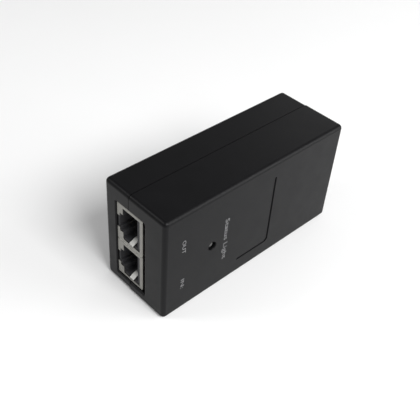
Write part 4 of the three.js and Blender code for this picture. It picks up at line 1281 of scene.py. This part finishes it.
        grown.shade(angle=60.0).place(GOLD, "contact_gold", *nodes, body=f"{self.port}_contacts")

    def build(self) -> None:
        """Builds the whole jack."""
        self.build_shield()
        self.build_body()
        self.build_contacts()


# ------------------------------------------------------------------ fasteners, light, label


@dataclass
class CaseScrews:
    """The four pan-head screws of the back.

    Attributes:
        head: radius and height of a head.
        crown: height of the head's narrowing crown and radius of its top, as shares of the head's.
        shank: radius of the shank.
        recess: width, reach and depth of the cross recess.
        sides: steps round a head, and round a shank.
        deburr: rounding of the edges.
    """

    head: tuple[float, float] = (2.65 * MM, 1.7 * MM)
    crown: tuple[float, float] = (0.45, 0.72)
    shank: float = 1.42 * MM
    recess: tuple[float, float, float] = (0.75 * MM, 3.1 * MM, 1.0 * MM)
    sides: tuple[int, int] = (36, 24)
    deburr: float = 0.06 * MM

    def build(self) -> None:
        """Grows all four screws on the points where their seats are."""
        boxes = [Box.of(screw) for screw in SCREWS]
        seats = [Vector((box.low.x, box.middle.y, box.middle.z)) for box in boxes]
        length = boxes[0].size.x
        radius, height = self.head
        share, narrow = self.crown
        width, reach, depth = self.recess
        head_sides, shank_sides = self.sides
        tree = NodeTree("screw_set")
        head_radius = tree.size("Head radius", radius)
        shank_radius = tree.size("Shank radius", self.shank)
        flat = tree.add("GeometryNodeMeshCylinder", Vertices=head_sides, Radius=head_radius,
                        Depth=height * (1 - share))
        crown = tree.add("GeometryNodeMeshCone", Vertices=head_sides, Radius_Bottom=head_radius,
                         Radius_Top=radius * narrow, Depth=height * share)
        shaft = tree.add("GeometryNodeMeshCylinder", Vertices=shank_sides, Radius=shank_radius,
                         Depth=length - height)
        slots = []
        for turn in (0.0, math.pi / 2):
            bar = tree.add("GeometryNodeMeshCube", Size=Vector((width, reach, depth * 2)))
            turned = tree.add("GeometryNodeTransform", Geometry=bar.outputs[0],
                              Rotation=Vector((0.0, 0.0, turn)))
            slots.append(turned.outputs[0])
        moved = [tree.add("GeometryNodeTransform", Geometry=piece.outputs[0],
                          Translation=Vector((0.0, 0.0, -up))).outputs[0]
                 for piece, up in ((crown, height * share), (flat, height * (1 + share) / 2),
                                   (shaft, (height + length) / 2))]
        union = tree.add("GeometryNodeMeshBoolean", {"operation": "UNION"})
        for piece in moved:
            tree.tree.links.new(piece, union.inputs["Mesh 2"])
        crossed = tree.add("GeometryNodeMeshBoolean", {"operation": "DIFFERENCE"})
        tree.tree.links.new(union.outputs["Mesh"], crossed.inputs["Mesh 1"])
        for slot in slots:
            tree.tree.links.new(slot, crossed.inputs["Mesh 2"])
        facing = tree.add("GeometryNodeTransform", Geometry=crossed.outputs["Mesh"],
                          Rotation=Vector((0.0, -math.pi / 2, 0.0)))
        placed = tree.add("GeometryNodeInstanceOnPoints", Points=tree.start.outputs[0],
                          Instance=facing.outputs[0])
        screws = tree.grow("case_screws", seats, placed.outputs[0], SCREW_STEEL)
        screws.soften(self.deburr, angle=50.0).shade()
        screws.place(SCREW_STEEL, "screw_steel", *SCREWS)


@dataclass
class IndicatorLight:
    """The unlit indicator: a flanged, domed lens on its spacer.

    Attributes:
        radius: radius of the lens.
        flange: radius and height of its flange.
        dome_steps: steps from the dome's foot to its top.
        spacer_edge: rounding of the spacer's edges.
        lead_edge: rounding of the leads' edges.
    """

    radius: float = 1.48 * MM
    flange: tuple[float, float] = (1.85 * MM, 0.8 * MM)
    dome_steps: int = 10
    spacer_edge: float = 0.15 * MM
    lead_edge: float = 0.06 * MM

    def build(self) -> None:
        """Builds the lens, the spacer and the two leads."""
        box = Box.of("indicator_light")
        height = box.size.x
        centre = Vector((box.low.x, box.middle.y, box.middle.z))
        dome = height - self.radius
        reach, rise = self.flange
        profile = [(0.0, 0.0), (reach, 0.0), (reach, rise), (self.radius, rise)]
        angles = [math.pi / 2 * i / self.dome_steps for i in range(self.dome_steps + 1)]
        profile += [(self.radius * math.cos(angle), dome + self.radius * math.sin(angle))
                    for angle in angles]
        lens = Solid.turned(Axis.X, centre, profile, name="light_lens")
        lens.shade(angle=50.0).place(LENS, "light_lens", "indicator_light")
        spacer = Solid.copy_of("light_spacer", "light_post")
        spacer.soften(self.spacer_edge).shade().place(NYLON, "spacer_plastic", "light_spacer")
        for i in (1, 2):
            lead = Solid.copy_of(f"light_lead_{i}", f"light_leg_{i}")
            lead.soften(self.lead_edge).shade().place(TIN, "tinned_metal", f"light_lead_{i}")


@dataclass
class RatingLabel:
    """The blank label on the back, with a thin printed frame and empty rows.

    Attributes:
        corner: radius of its corners.
        margin: distance of the frame from its edge.
        line: width of the printed lines.
        rows: number of empty rows.
        ink: how far the lines stand off the film.
    """

    corner: float = 1.2 * MM
    margin: float = 1.4 * MM
    line: float = 0.16 * MM
    rows: int = 4
    ink: float = 0.01 * MM

    def build(self) -> None:
        """Builds the film and its print."""
        box = Box.of("rating_label")
        low = Vector((box.low.y, box.low.z))
        high = Vector((box.high.y, box.high.z))
        outline = rounded_rectangle(low, high, self.corner, 0.0)
        film = Solid.prism(outline, Axis.X, box.low.x + self.ink, box.high.x, name="label_film")
        film.shade().place(LABEL_FILM, "label_film", "rating_label")
        inset = Vector((self.margin, self.margin))
        (left, bottom), (right, top) = low + inset, high - inset
        half = self.line / 2
        heights = [bottom + (top - bottom) * i / (self.rows + 1) for i in range(self.rows + 2)]
        strips = [((left, z - half), (right, z + half)) for z in heights]
        strips += [((y - half, bottom - half), (y + half, top + half)) for y in (left, right)]
        lines = [Solid.block((box.low.x, *start), (box.low.x + 2 * self.ink, *end))
                 for start, end in strips]
        Solid.merged("label_rules", lines).place(PRINT_INK, "label_film")


# ------------------------------------------------------------------ mains inlet


@dataclass
class MainsInlet:
    """The appliance inlet: moulding with a keyed socket, and three flat pins.

    Attributes:
        lip: rounding of the moulding's edges.
        pin_round: rounding of the pins' edges.
    """

    lip: float = 0.3 * MM
    pin_round: float = 0.3 * MM

    def build(self) -> None:
        """Builds the moulding and its pins."""
        moulding = Solid.copy_of("inlet_housing", "inlet_moulding")
        moulding.soften(self.lip, segments=3).shade()
        moulding.place(INLET_BLACK, "inlet_plastic", "inlet_housing")
        for name in ("line", "earth", "neutral"):
            pin = Solid.copy_of(f"{name}_pin", f"{name}_blade")
            pin.soften(self.pin_round, segments=3).shade()
            pin.place(TIN, "tinned_metal", f"{name}_pin")


# ------------------------------------------------------------------ power supply


@dataclass(frozen=True)
class Moulding:
    """A carried-over CAD shape with its edges rounded.

    Attributes:
        node: its CAD node.
        finish: its finish.
        slot: the record's material slot.
        round: rounding of its edges.
    """

    node: str
    finish: Finish
    slot: str
    round: float = 0.15 * MM

    def build(self) -> None:
        """Rounds and dresses the shape."""
        piece = Solid.copy_of(self.node, f"{self.node}_piece")
        piece.soften(self.round).shade().place(self.finish, self.slot, self.node)


@dataclass(frozen=True)
class CanCapacitor:
    """An electrolytic can: sleeve, rolled bead and pressed-in top.

    Its outline is given in millimetres, as pairs: in from its side, then up from its foot, or
    down from its top for the crown.

    Attributes:
        node: its CAD node.
        foot: the rounded foot.
        bead: the rolled bead.
        crown: the rounded rim and the pressed-in top.
    """

    node: str
    foot: Outline = ((0.4, 0.0), (0.1, 0.15), (0.0, 0.5))
    bead: Outline = ((0.0, 1.2), (0.35, 1.6), (0.35, 1.9), (0.0, 2.3))
    crown: Outline = ((0.0, 0.6), (0.2, 0.15), (0.6, 0.0), (1.0, 0.1), (1.3, 0.3))

    def build(self) -> None:
        """Turns the can about X."""
        box = Box.of(self.node)
        radius, height = box.size.y / 2, box.size.x
        base = Vector((box.low.x, box.middle.y, box.middle.z))
        profile = [(0.0, 0.0)]
        profile += [(radius - inset * MM, up * MM) for inset, up in (*self.foot, *self.bead)]
        profile += [(radius - inset * MM, height - down * MM) for inset, down in self.crown]
        profile.append((0.0, profile[-1][1]))
        can = Solid.turned(Axis.X, base, profile, name=f"{self.node}_can")
        can.shade(angle=50.0).place(SLEEVE, "capacitor_sleeve", self.node)


@dataclass
class PowerSupply:
    """The board and everything that stands on it, out of sight in the closed case."""

    mouldings: Sequence[Moulding] = (
        Moulding("main_board", BOARD_GREEN, "board", 0.05 * MM),
        Moulding("insulating_sheet", FIBRE, "insulation", 0.05 * MM),
        Moulding("suppression_capacitor", BOX_YELLOW, "boxed_capacitor", 0.5 * MM),
        Moulding("line_choke", COPPER, "copper_winding", 0.8 * MM),
        Moulding("fuse", NYLON, "spacer_plastic", 0.3 * MM),
        Moulding("bridge_rectifier", EPOXY, "component_black", 0.3 * MM),
        Moulding("safety_capacitor", CERAMIC, "ceramic", 0.9 * MM),
        Moulding("switch_heat_sink", ALUMINIUM, "heat_sink", 0.15 * MM),
        Moulding("switch_transistor", EPOXY, "component_black", 0.12 * MM),
        Moulding("transformer_core", FERRITE, "ferrite", 0.4 * MM),
        Moulding("transformer_bobbin", EPOXY, "component_black", 0.15 * MM),
        Moulding("transformer_winding", TAPE, "winding_tape", 0.5 * MM),
        Moulding("output_diode", EPOXY, "component_black", 0.2 * MM),
        Moulding("optocoupler", EPOXY, "component_black", 0.2 * MM),
        Moulding("controller_chip", EPOXY, "component_black", 0.15 * MM),
    )
    cans: Sequence[CanCapacitor] = (
        CanCapacitor("bulk_capacitor"),
        CanCapacitor("output_capacitor_1"),
        CanCapacitor("output_capacitor_2"),
    )

    def build(self) -> None:
        """Builds every piece on the board."""
        for piece in (*self.mouldings, *self.cans):
            piece.build()


# ------------------------------------------------------------------ studio


@dataclass(frozen=True)
class SoftLight:
    """A square area light.

    Attributes:
        name: the light's name.
        direction: where it stands, seen from the object.
        distance: how far away, in metres.
        side: length of its sides.
        power: its power, in watts.
    """

    name: str
    direction: tuple[float, float, float]
    distance: float
    side: float
    power: float

    def build(self, aim: Vector) -> None:
        """Sets it up, turned to the object.

        Args:
            aim: the middle of the object.
        """
        lamp = bpy.data.lights.new(self.name, "AREA")
        lamp.size = self.side
        lamp.energy = self.power
        holder = bpy.data.objects.new(self.name, lamp)
        bpy.context.scene.collection.objects.link(holder)
        way = Vector(self.direction).normalized()
        holder.location = aim + way * self.distance
        holder.rotation_euler = way.to_track_quat("Z", "Y").to_euler()


@dataclass
class Studio:
    """Camera, soft light and a pale floor.

    Attributes:
        azimuth: how far the camera stands round from the jack end, towards the printed face.
        elevation: how far above the horizon it stands, in degrees.
        roll: how far it leans, in degrees.
        distance: from the middle of the case, in metres.
        slide: how far it stands off its aim, to the right and up.
        focal: its focal length, in millimetres.
        sensor: width of its sensor, in millimetres.
        floor: how far the floor reaches each way, and its thickness, in metres.
        air: strength of the light from all round.
        lights: the area lights.
    """

    azimuth: float = 43.358
    elevation: float = 41.142
    roll: float = 4.888
    distance: float = 246.02 * MM
    slide: tuple[float, float] = (-6.024 * MM, -4.629 * MM)
    focal: float = 58.62
    sensor: float = 36.0
    floor: tuple[float, float] = (2.0, 0.02)
    air: float = 0.3
    lights: Sequence[SoftLight] = (
        SoftLight("left", (-0.515, -0.656, 0.72), 0.8, 0.22, 1.1),
        SoftLight("right", (0.7, 0.55, 0.35), 0.8, 0.5, 3.0),
        SoftLight("rim", (0.656, 0.549, 0.62), 0.8, 0.2, 0.35),
        SoftLight("back", (-0.35, 1.0, 0.45), 0.9, 0.5, 0.6),
        SoftLight("above", (0.9, -0.1, 0.9), 1.2, 0.6, 13.5),
    )

    def build_camera(self, aim: Vector) -> None:
        """Puts the camera up.

        Args:
            aim: what it is aimed at before it slides.
        """
        turn, rise, lean = (math.radians(a) for a in (self.azimuth, self.elevation, self.roll))
        back = Vector((math.sin(turn) * math.cos(rise), -math.cos(turn) * math.cos(rise),
                       math.sin(rise)))
        level = Vector((math.cos(turn), math.sin(turn), 0.0))
        upright = back.cross(level)
        right = level * math.cos(lean) + upright * math.sin(lean)
        up = upright * math.cos(lean) - level * math.sin(lean)
        lens = bpy.data.cameras.new("camera")
        lens.lens = self.focal
        lens.sensor_width = self.sensor
        lens.clip_start = 0.01
        camera = bpy.data.objects.new("camera", lens)
        bpy.context.scene.collection.objects.link(camera)
        place = aim + right * self.slide[0] + up * self.slide[1] + back * self.distance
        turned = Matrix((right, up, back)).transposed().to_4x4()
        camera.matrix_world = Matrix.Translation(place) @ turned
        bpy.context.scene.camera = camera

    def build_room(self) -> None:
        """Lays the floor and sets the air's light."""
        reach, depth = self.floor
        floor = Solid.block((-reach, -reach, -depth), (reach, reach, 0.0), name="floor").object
        floor.data.materials.append(FLOOR_WHITE.material())
        world = bpy.data.worlds.new("room")
        world.use_nodes = True
        sky = world.node_tree.nodes["Background"]
        sky.inputs["Color"].default_value = (1.0, 1.0, 1.0, 1.0)
        sky.inputs["Strength"].default_value = self.air
        bpy.context.scene.world = world
        bpy.context.scene.view_settings.view_transform = "Standard"

    def build(self) -> None:
        """Sets up the whole studio."""
        low, high = cad_bounds
        aim = (low + high) / 2
        self.build_camera(aim)
        self.build_room()
        for light in self.lights:
            light.build(aim)


def main() -> None:
    """Builds the studio and every sub-assembly, in order."""
    logging.basicConfig(level=logging.INFO, format="%(name)s: %(message)s")
    assemblies = (
        Studio(),
        CaseShells(),
        Lettering(),
        Jack("poe"),
        Jack("lan"),
        CaseScrews(),
        IndicatorLight(),
        RatingLabel(),
        MainsInlet(),
        PowerSupply(),
    )
    for assembly in assemblies:
        LOG.info("building %s", type(assembly).__name__)
        assembly.build()


if __name__ == "__main__":
    main()
